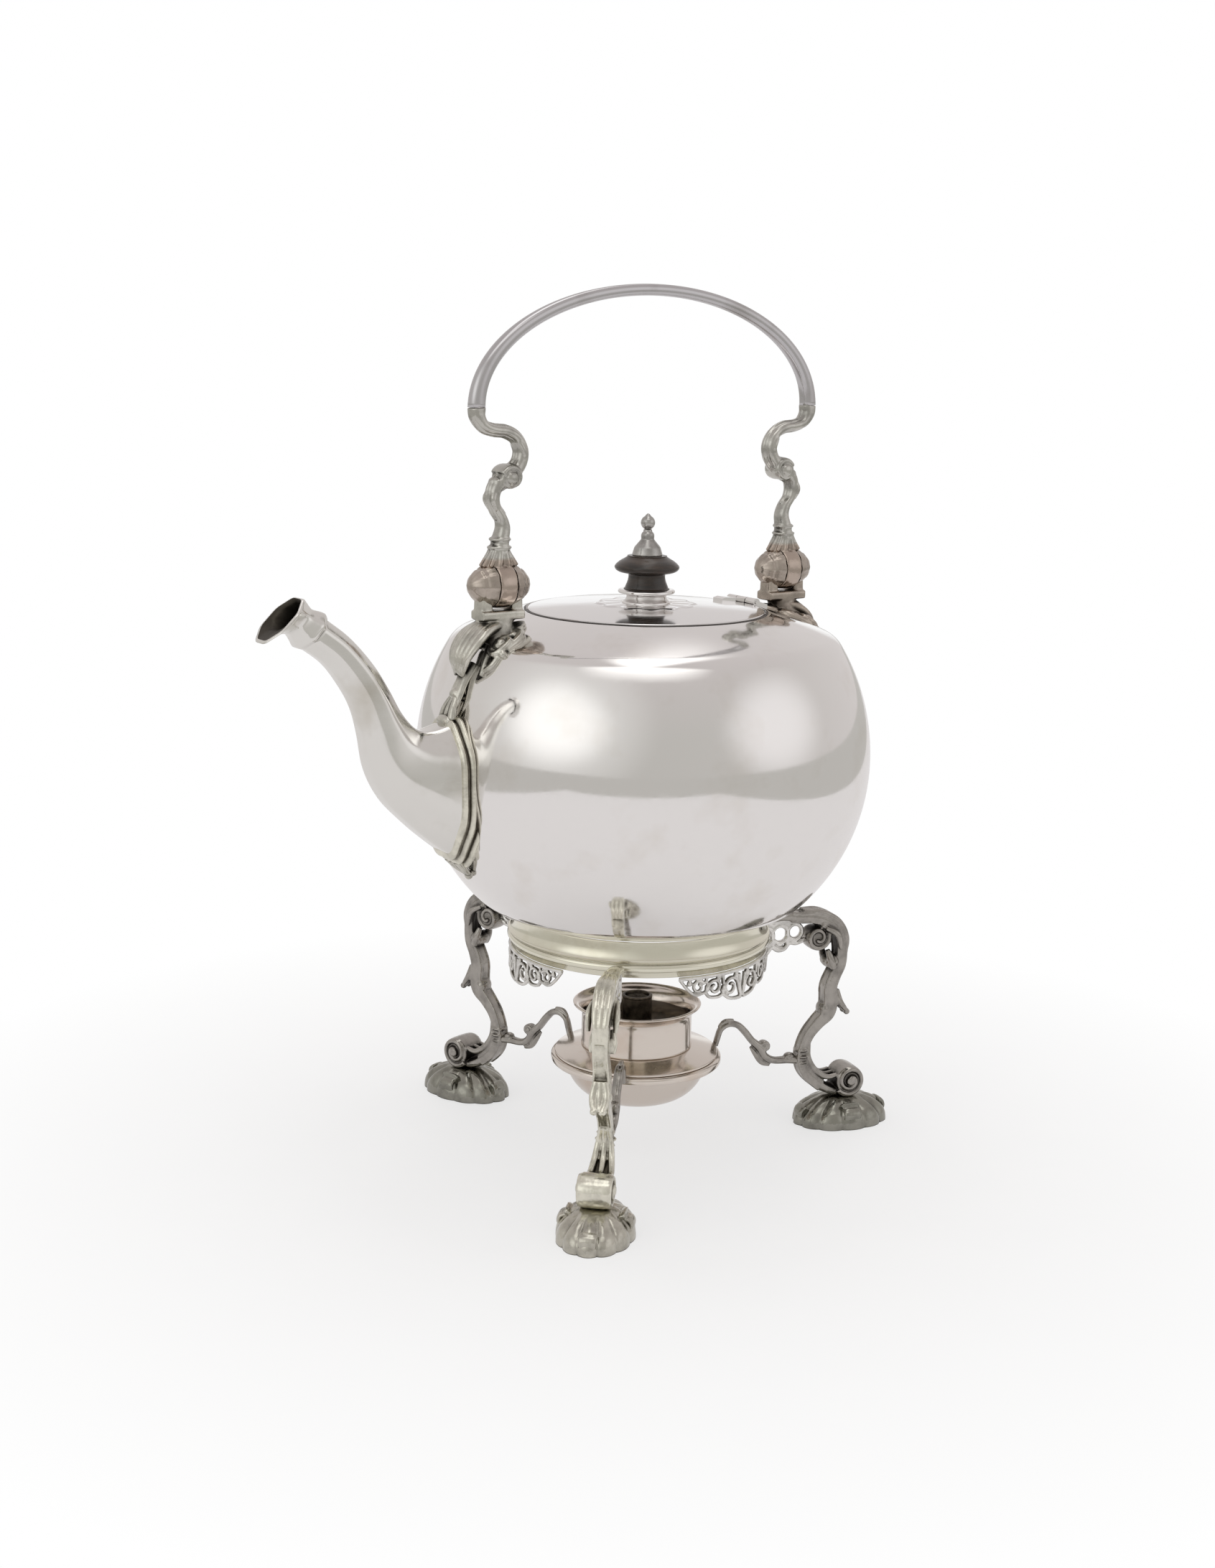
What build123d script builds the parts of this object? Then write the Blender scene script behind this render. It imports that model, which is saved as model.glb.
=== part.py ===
from build123d import *
import os
from math import atan2, cos, degrees, hypot, radians, sin, sqrt

os.makedirs("parts", exist_ok=True)

# Origin: the kettle's upright axis at floor level.  +Z is up, the spout points along -X.
# All lengths are in millimetres and all angles in degrees.
# "reach" is the distance from the upright axis, "height" is the distance above the floor.

# ---- kettle body ----
belly_radius = 90.0        # widest circle of the body
belly_height = 165.0       # height of that circle
upper_curve = 85.0         # side curve above the widest circle
lower_curve = 80.0         # side curve below the widest circle
shoulder_curve = 190.0     # flattened cap around the mouth
shoulder_round = 11.0      # soft corner between shoulder and side
base_curve = 174.0         # flattened cap under the body
base_round = 20.0          # soft corner between base and side
base_height = 93.7         # lowest point of the body
body_wall = 1.5

# ---- mouth and lid ----
lid_radius = 46.5
lid_rim_height = 222.65
lid_rise = 2.35            # doming of the lid between rim and centre
lid_thickness = 1.4
mouth_gap = 0.6            # ring of air round the lid
mouth_drop = 0.2           # the body's edge lies this far below the lid's edge
bezel_bore = 43.5          # inner radius of the ledge that carries the lid
bezel_thickness = 1.6
ledge_gap = 0.35           # air between lid and ledge
flange_radius = 43.0       # locating flange under the lid
flange_wall = 1.0
flange_depth = 3.0

# ---- lid hinge ----
hinge_reach = 48.5
hinge_lift = 0.45          # hinge axis above the lid's edge
knuckle_radius = 1.7
knuckle_middle = 6.0       # length of the lid's knuckle
knuckle_outer = 5.6        # length of each knuckle on the body
knuckle_gap = 0.2
hinge_pin_radius = 0.8
pin_clearance = 0.05
leaf_thickness = 0.9
leaf_length = 5.6
strap_length = 13.0

# ---- finial ----
finial_foot = 9.5
finial_waist = 7.7
finial_flange = 11.2
finial_silver = 5.4        # height of the silver foot
disc_radius = 12.7
disc_height = 13.1         # height of the wooden grip
disc_top = 7.3
cap_radius = 5.9
cap_height = 10.2
ball_radius = 2.8
point_height = 6.1
stud_radius = 1.3
stud_clearance = 0.1

# ---- bail handle ----
bow_half_width = 78.5
bow_centre_height = 301.0
bow_rise = 43.8            # rise of the bow's centre line above its ends
bow_thin = 4.4             # bow thickness at the crown
bow_thick = 6.4            # bow thickness at its ends
bail_width = 7.0           # width of the scrolls across the handle's plane
joint_reach = 68.4         # where the handle's two joints stand
joint_height = 235.5
joint_radius = 8.6
joint_half_length = 13.0
tongue_half = 3.6
side_gap = 0.15
cup_gap = 0.35
pin_radius = 1.5
pin_half_length = 11.0

# ---- lugs ----
saddle_drop = 0.45         # air between tongue and saddle
saddle_height = 4.2
saddle_half_length = 9.5
saddle_half_width = 4.7
pad_thickness = 2.0

# ---- spout ----
spout_wall = 1.2
tip_wall = 1.2

# ---- stand ring and aprons ----
ring_bore = 46.5
ring_top = 50.2
ring_outer = 53.2
ring_step = 51.5
ring_foot_height = 87.0
seat_gap = 0.2             # air between the kettle and its ring
apron_inner = 51.0
apron_thickness = 1.4
apron_height = 13.0
apron_half_angle = 34.0

# ---- legs and feet ----
leg_count = 3
first_leg_angle = 225.85
leg_width = 8.5
web_thickness = 3.0
volute_reach = 96.0
volute_height = 18.8
volute_radius = 7.2
volute_width = 13.5
curl_reach = 79.5
curl_height = 82.6
curl_radius = 5.2
foot_reach = 94.5
foot_length = 42.0
foot_width = 30.0
foot_height = 12.4
foot_lobes = 12

# ---- lamp and its ring ----
lamp_ring_bore = 29.6
lamp_ring_outer = 34.8
lamp_ring_height = 36.8
lamp_ring_thickness = 3.4
bracket_width = 4.2
lamp_radius = 28.8
lamp_bottom_height = 21.5
lamp_floor_radius = 12.0
lamp_flange = 33.3
lamp_rest_gap = 0.1
lamp_flange_thickness = 0.9
lamp_slope = 2.4
lamp_opening = 21.6
lamp_wall = 1.2
cover_radius = 22.4
cover_height = 17.9
cover_flare = 26.1
cover_wall = 1.2
spigot_gap = 0.3
spigot_depth = 3.6
burner_thickness = 1.2
burner_drop = 11.0         # burner plate below the cover's rim
tube_radius = 6.0
tube_wall = 1.0
tube_rise = 2.9            # wick tube above the cover's rim
wick_gap = 0.1
wick_rise = 1.2

# ---- derived heights ----
mouth_radius = lid_radius + mouth_gap
mouth_height = lid_rim_height - mouth_drop
shoulder_centre = mouth_height - sqrt(shoulder_curve ** 2 - mouth_radius ** 2)
base_centre = base_height + base_curve
upper_offset = belly_radius - upper_curve
lower_offset = belly_radius - lower_curve
lid_top = lid_rim_height + lid_rise
hinge_height = lid_rim_height + hinge_lift
ledge_height = lid_rim_height - lid_thickness - ledge_gap
lamp_ring_top = lamp_ring_height + lamp_ring_thickness
lamp_rest_height = lamp_ring_top + lamp_rest_gap
lamp_top_height = lamp_rest_height + lamp_flange_thickness + lamp_slope
cover_base_height = lamp_top_height + lamp_rest_gap
cover_rim_height = cover_base_height + cover_height
tube_top_height = cover_rim_height + tube_rise
leg_angles = [first_leg_angle - 360.0 / leg_count * n for n in range(leg_count)]
tiny = 0.01


# ---------------------------------------------------------------- helpers

def upright(*edges):
    """Face in the XZ plane from edges drawn as (reach, height)."""
    return Plane.XZ * make_face(list(edges))


def turned(points):
    """Solid of revolution about the upright axis from a closed polygon."""
    return revolve(upright(Polyline(*points, close=True)), Axis.Z)


def section(reach, height, angle, shape):
    """Place a flat shape across a path that runs in the XZ plane."""
    direction = (cos(radians(angle)), 0, sin(radians(angle)))
    across = (-sin(radians(angle)), 0, cos(radians(angle)))
    return Plane((reach, 0, height), x_dir=across, z_dir=direction) * shape


def blend(values, share):
    """Value at a share of the way along a list of evenly spaced values."""
    spot = min(max(share, 0.0), 1.0) * (len(values) - 1)
    left = min(int(spot), len(values) - 2)
    return values[left] + (values[left + 1] - values[left]) * (spot - left)


def strap(points, thickness, width, count=30):
    """Flat curved strap: a path of (reach, height) points given thickness and width."""
    path = Spline(*points)
    left = []
    right = []
    for step in range(count + 1):
        share = step / count
        spot = path @ share
        run = path % share
        half = blend(thickness, share) / 2
        left.append((spot.X - run.Y * half, spot.Y + run.X * half))
        right.append((spot.X + run.Y * half, spot.Y - run.X * half))
    right.reverse()
    face = upright(Spline(*left), Line(left[-1], right[0]),
                   Spline(*right), Line(right[-1], left[0]))
    return extrude(face, width / 2, both=True)


def rod(points, thickness, count=12):
    """Round rod along a curved path of (reach, height) points."""
    path = Spline(*points)
    sections = []
    for step in range(count + 1):
        share = step / count
        spot = path @ share
        run = path % share
        shape = Circle(blend(thickness, share) / 2)
        sections.append(section(spot.X, spot.Y, degrees(atan2(run.Y, run.X)), shape))
    return loft(sections)


def waisted(stages):
    """Block seen along X: half widths given as (half width, height) from below."""
    right = list(stages)
    left = [(-half, height) for half, height in reversed(stages)]
    face = Plane.YZ * make_face(Polyline(*(right + left), close=True))
    return extrude(face, 2 * belly_radius)


def drum(reach, height, radius, width):
    """Cylinder lying across the XZ plane."""
    return Plane.XZ * Pos(reach, height, -width / 2) * extrude(Circle(radius), width)


def plate(points, width):
    """Polygon of (reach, height) points, thickened evenly across the XZ plane."""
    return extrude(upright(Polyline(*points, close=True)), width / 2, both=True)


def crossing(first, first_radius, second, second_radius):
    """Outer crossing of two circles given by (reach, height) centres."""
    run = second[0] - first[0]
    rise = second[1] - first[1]
    gap = hypot(run, rise)
    along = (first_radius ** 2 - second_radius ** 2 + gap ** 2) / (2 * gap)
    aside = sqrt(first_radius ** 2 - along ** 2)
    base = (first[0] + along * run / gap, first[1] + along * rise / gap)
    left = (base[0] - aside * rise / gap, base[1] + aside * run / gap)
    right = (base[0] + aside * rise / gap, base[1] - aside * run / gap)
    return max(left, right)


def arc_between(centre, radius, start, end):
    """Arc of a circle from one (reach, height) point to another, the short way."""
    middle = ((start[0] + end[0]) / 2 - centre[0], (start[1] + end[1]) / 2 - centre[1])
    scale = radius / hypot(*middle)
    return ThreePointArc(
        start, (centre[0] + middle[0] * scale, centre[1] + middle[1] * scale), end
    )


def base_surface(reach):
    """Height of the body's outer surface over its flattened base."""
    return base_centre - sqrt(base_curve ** 2 - reach ** 2)


def around(shape, angle):
    """Turn a shape about the upright axis."""
    return Rot(0, 0, angle) * shape


# ---------------------------------------------------------------- kettle body

def belly(inset):
    """Closed body of the kettle, with its surface set in by a distance."""
    low = (lower_offset, belly_height)
    high = (upper_offset, belly_height)
    cap = (0.0, shoulder_centre)
    base = (0.0, base_centre)
    bottom = (0.0, base_height + inset)
    top = (0.0, shoulder_centre + shoulder_curve - inset)
    side = (belly_radius - inset, belly_height)
    foot = crossing(low, lower_curve - inset, base, base_curve - inset)
    shoulder = crossing(cap, shoulder_curve - inset, high, upper_curve - inset)
    face = make_face([
        arc_between(base, base_curve - inset, bottom, foot),
        arc_between(low, lower_curve - inset, foot, side),
        arc_between(high, upper_curve - inset, side, shoulder),
        arc_between(cap, shoulder_curve - inset, shoulder, top),
        Line(top, bottom),
    ])
    lower_corner = face.vertices().sort_by_distance(foot)[0]
    face = fillet(lower_corner, base_round - inset)
    upper_corner = face.vertices().sort_by_distance(shoulder)[0]
    face = fillet(upper_corner, shoulder_round - inset)
    return revolve(Plane.XZ * face, Axis.Z)


def hinge_notch():
    """Room for the hinge knuckles in the edge of the mouth."""
    length = knuckle_middle + 2 * knuckle_outer + 4 * knuckle_gap
    return drum(hinge_reach, hinge_height, knuckle_radius + mouth_gap / 2, length)


def kettle_shell(outside, bore):
    """Whole wall of the kettle, raised in a lower and an upper half."""
    inside = belly(body_wall)
    mouth = Pos(0, 0, mouth_height) * Cylinder(mouth_radius, 4 * bezel_bore)
    mouth = mouth & Pos(0, 0, mouth_height) * Cylinder(mouth_radius, 2 * flange_radius)
    return outside - inside - mouth - bore - hinge_notch()


def upper_space():
    """Space above the seam at the widest part of the kettle."""
    height = 2 * belly_radius
    return Pos(0, 0, belly_height + height / 2) * Cylinder(height, height)


def mouth_bezel():
    outer = mouth_radius + body_wall
    top = ledge_height
    low = top - bezel_thickness
    edge = shoulder_centre + sqrt((shoulder_curve - body_wall) ** 2 - outer ** 2) - tiny
    ring = turned([(bezel_bore, low), (outer, low), (outer, edge),
                   (mouth_radius, edge), (mouth_radius, top), (bezel_bore, top)])
    return ring - hinge_notch()


# ---------------------------------------------------------------- spout

def octagon(half_height, half_width):
    """Section of the spout: an eight-sided shape, taller than wide."""
    flat = 0.42
    points = [
        (half_height, flat * half_width), (flat * half_height, half_width),
        (-flat * half_height, half_width), (-half_height, flat * half_width),
        (-half_height, -flat * half_width), (-flat * half_height, -half_width),
        (flat * half_height, -half_width), (half_height, -flat * half_width),
    ]
    return make_face(Polyline(*points, close=True))


# reach from the belly, height over the belly's widest circle, half height, half width, angle
spout_stations = [
    (-10.0, -7.5, 27.0, 15.6, -4.0),
    (-3.0, -5.4, 26.2, 15.4, 3.0),
    (4.5, -1.0, 22.8, 14.2, 16.5),
    (11.2, 2.2, 19.5, 12.6, 25.0),
    (18.9, 6.0, 15.5, 10.8, 37.0),
    (24.8, 12.5, 12.0, 9.2, 56.0),
    (29.2, 22.0, 8.9, 8.1, 66.0),
    (33.5, 32.0, 7.6, 7.3, 63.0),
    (39.0, 41.0, 7.2, 6.9, 56.0),
    (47.0, 50.4, 6.7, 6.5, 46.0),
    (56.5, 57.6, 6.7, 6.5, 42.0),
]
root_bands = [(0.34, 0.52, 2.4), (0.56, 0.74, 2.0), (0.78, 0.94, 1.6)]
band_stretch = 2.0
tip_stations = [
    (56.5, 57.6, 7.4, 7.2, 42.0),
    (59.0, 60.0, 7.2, 7.0, 45.0),
    (61.5, 61.8, 6.3, 6.2, 47.0),
    (65.5, 63.4, 8.2, 7.4, 47.0),
    (69.0, 62.6, 10.9, 8.8, 46.0),
]
tip_bore_stations = [
    (56.5, 57.6, 5.3, 5.1, 42.0),
    (61.5, 61.8, 4.9, 4.8, 47.0),
    (65.5, 63.6, 6.2, 5.8, 47.0),
    (69.6, 63.2, 8.6, 7.0, 46.0),
]


def spout_section(station, margin):
    """One section of the spout, made larger or smaller by a margin."""
    out, up, half_height, half_width, angle = station
    shape = octagon(half_height + margin, half_width + margin)
    return section(belly_radius + out, belly_height + up, angle, shape)


def spout_solid(margin, stations):
    """Closed spout, drawn toward +X and turned to face -X."""
    return around(loft([spout_section(station, margin) for station in stations]), 180)


def root_station(share):
    """A section between the first stations of the spout."""
    spot = share * band_stretch
    left = min(int(spot), 1)
    part = spot - left
    near = spout_stations[left]
    far = spout_stations[left + 1]
    return tuple(a + (b - a) * part for a, b in zip(near, far))


def spout_root(outside):
    """Three stepped mouldings round the root of the spout."""
    bands = []
    for start, end, margin in root_bands:
        middle = (start + end) / 2
        sections = [
            spout_section(root_station(start), margin * 0.55),
            spout_section(root_station(middle), margin),
            spout_section(root_station(end), margin * 0.55),
        ]
        bands.append(loft(sections, ruled=True))
    first, last = root_bands[0][0], root_bands[-1][1]
    backing = loft([
        spout_section(root_station(first), root_bands[0][2] * 0.5),
        spout_section(root_station(last), root_bands[-1][2] * 0.5),
    ])
    moulding = backing
    for band in bands:
        moulding = moulding + band
    return around(moulding, 180) - spout_solid(0.0, spout_stations) - outside


def spout(outside):
    hollow = spout_solid(-spout_wall, spout_stations)
    return spout_solid(0.0, spout_stations) - hollow - outside


def spout_tip():
    closed = spout_solid(0.0, tip_stations)
    return closed - spout_solid(0.0, tip_bore_stations) - spout_solid(0.0, spout_stations)


# ---------------------------------------------------------------- handle joints and lugs

def joint_core(growth):
    """Melon-shaped joint about the handle's swinging axis."""
    shape = Ellipse(joint_half_length + growth, joint_radius + growth)
    upper = shape & Pos(0, joint_radius) * Rectangle(4 * joint_half_length, 2 * joint_radius)
    core = revolve(Plane.XZ * upper, Axis.X)
    return Pos(joint_reach, 0, joint_height) * core


def slab(low, high):
    """Slice of space between two reaches measured from the joint's middle."""
    size = 6 * joint_radius
    middle = (low + high) / 2
    return Pos(joint_reach + middle, 0, joint_height) * Box(high - low, size, size)


def joint_pin(radius, half_length):
    pin = Rot(0, 90, 0) * Cylinder(radius, 2 * half_length)
    return Pos(joint_reach, 0, joint_height) * pin


# outline of a lug's leafy pad: (reach, offset to the side)
pad_outline = [
    (55.5, 0.0), (57.5, 3.2), (61.0, 4.6), (62.5, 3.4), (64.0, 8.6), (67.0, 12.6),
    (71.5, 14.6), (75.5, 13.6), (76.0, 9.6), (80.5, 10.4), (84.5, 6.2), (86.5, 0.0),
]
outer_leaf_path = [(69.0, 222.0), (75.5, 221.4), (81.5, 217.4), (85.8, 211.0), (86.2, 204.0)]
short_leaf_path = [(69.0, 222.0), (74.0, 221.0), (78.4, 217.0), (80.8, 211.5), (81.6, 206.0)]
tail_path = [(79.5, 206.5), (83.2, 201.0), (86.4, 194.5), (88.2, 189.0)]
lobe_reach = 72.5
lobe_side = 10.6
lobe_height = 217.4
lobe_radius = 4.2


def pad(outside):
    """Leafy plate that follows the shoulder."""
    sides = pad_outline + [(reach, -side) for reach, side in reversed(pad_outline[1:-1])]
    prism = extrude(make_face(Polyline(*sides, close=True)), joint_height)
    low = belly_height + upper_curve / 3
    prism = prism & Pos(0, 0, low + joint_height / 2) * Box(
        4 * belly_radius, 4 * belly_radius, joint_height)
    return (prism & belly(-pad_thickness)) - outside


def lug_block():
    """Neck, saddle and pillars that carry the two cheeks."""
    saddle_top = joint_height - joint_radius - saddle_drop
    saddle = Pos(joint_reach, 0, saddle_top - saddle_height / 2) * Box(
        2 * saddle_half_length, 2 * saddle_half_width, saddle_height)
    pillar_width = saddle_half_length - tongue_half - side_gap
    pillar_height = joint_radius
    pillars = saddle
    for side in (-1, 1):
        middle = side * (tongue_half + side_gap + pillar_width / 2)
        pillars += Pos(joint_reach + middle, 0, saddle_top + pillar_height / 2) * Box(
            pillar_width, 1.7 * saddle_half_width, pillar_height)
    low = saddle_top - saddle_height
    neck = plate([
        (joint_reach - saddle_half_length, low + 1.0), (joint_reach - 6.0, low - 2.0),
        (joint_reach - 7.6, low - 10.0), (joint_reach + 10.6, low - 14.0),
        (joint_reach + 6.6, low - 3.0), (joint_reach + saddle_half_length, low + 1.0),
    ], 4 * saddle_half_width)
    neck = neck & waisted([(9.6, low - 16.0), (6.4, low - 5.0), (5.2, low - 1.5),
                           (saddle_half_width, low + 1.0)])
    return pillars + neck


def lug(outside, leaf_path, with_tail):
    """Cast lug with two cheeks, drawn at +X."""
    cheeks = joint_core(0.0) - slab(-tongue_half - side_gap, tongue_half + side_gap)
    slot = Pos(joint_reach, 0, joint_height) * Box(
        2 * (tongue_half + side_gap), 4 * joint_radius, 2 * (joint_radius + saddle_drop))
    body = lug_block() - slot + cheeks
    leaf = strap(leaf_path, [4.0, 5.0, 5.0, 4.0, 2.2], 15.0, 10)
    low, high = leaf_path[-1][1], leaf_path[0][1]
    body += leaf & waisted([(1.5, low - 3.0), (4.5, low + 2.0), (7.4, low + 8.0),
                            (5.6, high - 4.0), (4.4, high + 3.0)])
    if with_tail:
        body += strap(tail_path, [3.6, 3.8, 3.6, 2.4], 5.0, 8)
    for side in (-1, 1):
        spot = Pos(lobe_reach, side * lobe_side, lobe_height - lobe_radius)
        body += spot * Cylinder(lobe_radius, 2 * lobe_radius)
        body += spot * Cylinder(lobe_radius / 2, 2 * lobe_radius + 1.6)
    body += pad(outside)
    return body - outside - joint_pin(pin_radius, pin_half_length)


# ---------------------------------------------------------------- bail handle

# scroll of the handle: (reach, height)
scroll_path = [
    (78.5, 301.0), (78.2, 297.6), (75.6, 294.2), (71.2, 292.8), (66.2, 292.2),
    (61.6, 289.8), (59.3, 285.2), (60.5, 280.0), (65.2, 275.6), (70.0, 272.4),
    (71.4, 268.4), (70.4, 264.2), (67.9, 260.6), (66.9, 256.8), (67.8, 252.4), (68.4, 247.0),
]
scroll_thickness = [
    6.4, 6.0, 5.0, 4.4, 4.2, 4.6, 6.0, 6.4, 6.4, 5.6, 5.2, 4.4, 4.6, 6.0, 7.2, 9.0,
]
# half widths of the scroll across the handle's plane, from below: (half width, height)
scroll_widths = [
    (4.6, 236.0), (4.6, 248.0), (3.8, 253.0), (3.3, 261.0), (3.5, 269.0), (4.4, 275.0),
    (3.9, 281.0), (3.5, 289.0), (3.7, 295.0), (3.2, 301.0), (3.2, 310.0),
]
spur_height = 275.2
spur_reach = 65.6


def bail_bow():
    """Round bow over the kettle, thinner at its crown."""
    sizes = [bow_thick, (bow_thick + bow_thin) / 2, bow_thin,
             (bow_thick + bow_thin) / 2, bow_thick]
    sections = []
    for step in range(15):
        share = step / 14
        turn = radians(180.0 * share)
        reach = bow_half_width * cos(turn)
        height = bow_centre_height + bow_rise * sin(turn)
        angle = degrees(atan2(bow_rise * cos(turn), -bow_half_width * sin(turn)))
        shape = Circle(blend(sizes, share) / 2)
        sections.append(section(reach, height, angle, shape))
    return loft(sections)


def bail_cup():
    """Leafy cup that caps the joint."""
    low = joint_height + joint_radius * 0.80
    stages = [(low, 8.6), (low + 3.6, 6.4), (low + 5.4, 5.4), (low + 9.8, 3.4)]
    right = [(joint_reach + half, height) for height, half in stages]
    left = [(joint_reach - half, height) for height, half in reversed(stages)]
    return plate(right + left, 9.2)


def bail_scroll():
    """One end of the handle, drawn at +X."""
    body = strap(scroll_path, scroll_thickness, 2 * bail_width, 36)
    body += bail_cup()
    body = body & waisted(scroll_widths)
    body += drum(spur_reach, spur_height, 4.3, bail_width + 2.4)
    body += drum(spur_reach - 2.4, spur_height + 0.8, 2.9, bail_width + 1.2)
    body += drum(spur_reach + 2.6, spur_height - 0.8, 2.9, bail_width + 1.2)
    body -= joint_core(cup_gap)
    above = Pos(0, 0, bow_centre_height + bow_rise) * Box(
        4 * belly_radius, 4 * belly_radius, 2 * bow_rise)
    body -= above
    tongue = joint_core(0.0) & slab(-tongue_half, tongue_half)
    neck = Pos(joint_reach, 0, joint_height + joint_radius) * Box(
        2 * tongue_half, 5.0, joint_radius)
    body = body + tongue + neck
    return body - joint_pin(pin_radius + pin_clearance, 2 * joint_half_length)


# ---------------------------------------------------------------- lid

def lid_dome(drop):
    """Solid under the lid's domed top, lowered by a distance, down to below the rim."""
    low = lid_rim_height - 2 * flange_depth
    top = lid_top - drop
    rim = lid_rim_height - drop
    curve = (lid_rise ** 2 + lid_radius ** 2) / (2 * lid_rise)
    face = upright(
        arc_between((0.0, top - curve), curve, (0.0, top), (lid_radius, rim)),
        Line((lid_radius, rim), (lid_radius, low)),
        Line((lid_radius, low), (0.0, low)),
        Line((0.0, low), (0.0, top)),
    )
    return revolve(face, Axis.Z)


def stud_hole():
    return Pos(0, 0, lid_top) * Cylinder(stud_radius + stud_clearance, 8 * finial_foot)


def lid():
    return lid_dome(0.0) - lid_dome(lid_thickness) - stud_hole()


def lid_flange():
    top = lid_top
    low = lid_rim_height - lid_thickness - flange_depth
    inner = flange_radius - flange_wall
    ring = turned([(inner, low), (flange_radius, low), (flange_radius, top), (inner, top)])
    cover = lid_dome(lid_thickness)
    return ring & cover


def hinge_bore(clearance):
    return drum(hinge_reach, hinge_height, hinge_pin_radius + clearance, 8 * knuckle_middle)


def lid_hinge_strap():
    knuckle = drum(hinge_reach, hinge_height, knuckle_radius, knuckle_middle)
    far = hinge_reach - strap_length
    tongue = plate([
        (far, lid_rim_height - lid_rise), (far, lid_top - 0.2), (far + 2.0, lid_top + 0.3),
        (hinge_reach - 1.0, hinge_height + 1.1), (hinge_reach, hinge_height + 0.8),
        (hinge_reach - 0.4, lid_rim_height + 0.1), (lid_radius, lid_rim_height + 0.1),
        (lid_radius - 1.0, lid_rim_height - lid_rise),
    ], knuckle_middle)
    tongue = tongue - lid_dome(0.0)
    return knuckle + tongue - hinge_bore(0.0)


def lid_hinge_leaf(outside):
    """Leaf and two knuckles on the kettle's shoulder."""
    side = knuckle_middle / 2 + knuckle_gap + knuckle_outer / 2
    width = knuckle_middle + 2 * knuckle_gap + 2 * knuckle_outer
    leaf = plate([
        (hinge_reach + 0.2, hinge_height), (hinge_reach + 0.2, hinge_height - 3.0),
        (hinge_reach + leaf_length, hinge_height - 3.0),
        (hinge_reach + leaf_length, mouth_height - 0.75 + leaf_thickness / 2),
        (hinge_reach + 1.8, mouth_height + leaf_thickness),
    ], width)
    room = plate([
        (hinge_reach - 3.0, hinge_height + 3.0), (hinge_reach - 3.0, hinge_height - 4.0),
        (hinge_reach + knuckle_radius + 0.6, hinge_height - 4.0),
        (hinge_reach + knuckle_radius + 0.6, hinge_height + 3.0),
    ], knuckle_middle + 2 * knuckle_gap)
    body = leaf - room
    for turn in (-1, 1):
        knuckle = drum(hinge_reach, hinge_height, knuckle_radius, knuckle_outer)
        body += Pos(0, turn * side, 0) * knuckle
    return body - outside - hinge_bore(pin_clearance)


def lid_hinge_pin():
    length = knuckle_middle + 2 * knuckle_gap + 2 * knuckle_outer + 1.0
    return drum(hinge_reach, hinge_height, hinge_pin_radius, length)


def finial_base():
    low = lid_top - lid_rise / 2
    top = lid_top + finial_silver
    body = turned([
        (0, low), (finial_foot, low), (finial_foot, lid_top + 0.4),
        (finial_waist + 0.4, lid_top + 1.4), (finial_waist, lid_top + 2.5),
        (finial_waist + 0.6, lid_top + 3.4), (finial_flange, top - 1.4),
        (finial_flange, top - 0.6), (finial_flange - 0.6, top), (0, top),
    ])
    return body - lid_dome(0.0) - stud_hole()


def finial_disc():
    low = lid_top + finial_silver
    top = low + disc_height
    profile = upright(
        Polyline((0, top), (0, low), (disc_radius - 4.3, low), (disc_radius - 4.4, low + 1.4)),
        Spline((disc_radius - 4.4, low + 1.4), (disc_radius - 5.5, low + 5.2),
               (disc_radius - 3.4, low + 6.3), (disc_radius, low + 8.4)),
        Spline((disc_radius, low + 8.4), (disc_radius - 2.3, low + 11.2), (disc_top, top)),
        Line((disc_top, top), (0, top)),
    )
    return revolve(profile, Axis.Z) - stud_hole()


def finial_cap():
    low = lid_top + finial_silver + disc_height
    top = low + cap_height
    body = turned([
        (0, low), (cap_radius, low), (cap_radius, low + 0.7), (cap_radius - 0.8, low + 3.3),
        (3.5, low + 5.2), (2.5, low + 6.4), (2.5, low + 8.5), (1.7, low + 9.4),
        (1.7, top), (0, top),
    ])
    hole = Pos(0, 0, low) * Cylinder(stud_radius + stud_clearance, 4 * finial_silver / 3)
    return body - hole


def stud_top():
    """The stud ends inside the finial's silver cap."""
    return lid_top + finial_silver + disc_height + 2 * finial_silver / 3


def finial_stud():
    low = lid_top - lid_thickness - 1.2
    head = turned([(0, low - 1.2), (3.6, low - 1.2), (3.6, low + 1.2), (0, low + 1.2)])
    head = head & lid_dome(lid_thickness)
    shaft = turned([(0, low), (stud_radius, low), (stud_radius, stud_top()), (0, stud_top())])
    return head + shaft


def finial_nut():
    low = lid_top + finial_silver + disc_height + cap_height
    centre = low + ball_radius * 0.92
    ball = Pos(0, 0, centre) * Sphere(ball_radius)
    point = turned([(0, centre), (1.5, centre), (1.1, centre + 2.7), (0.35, low + point_height),
                    (0, low + point_height)])
    keep = Pos(0, 0, low + 2 * point_height) * Box(40, 40, 4 * point_height)
    return (ball + point) & keep


# ---------------------------------------------------------------- stand

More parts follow.
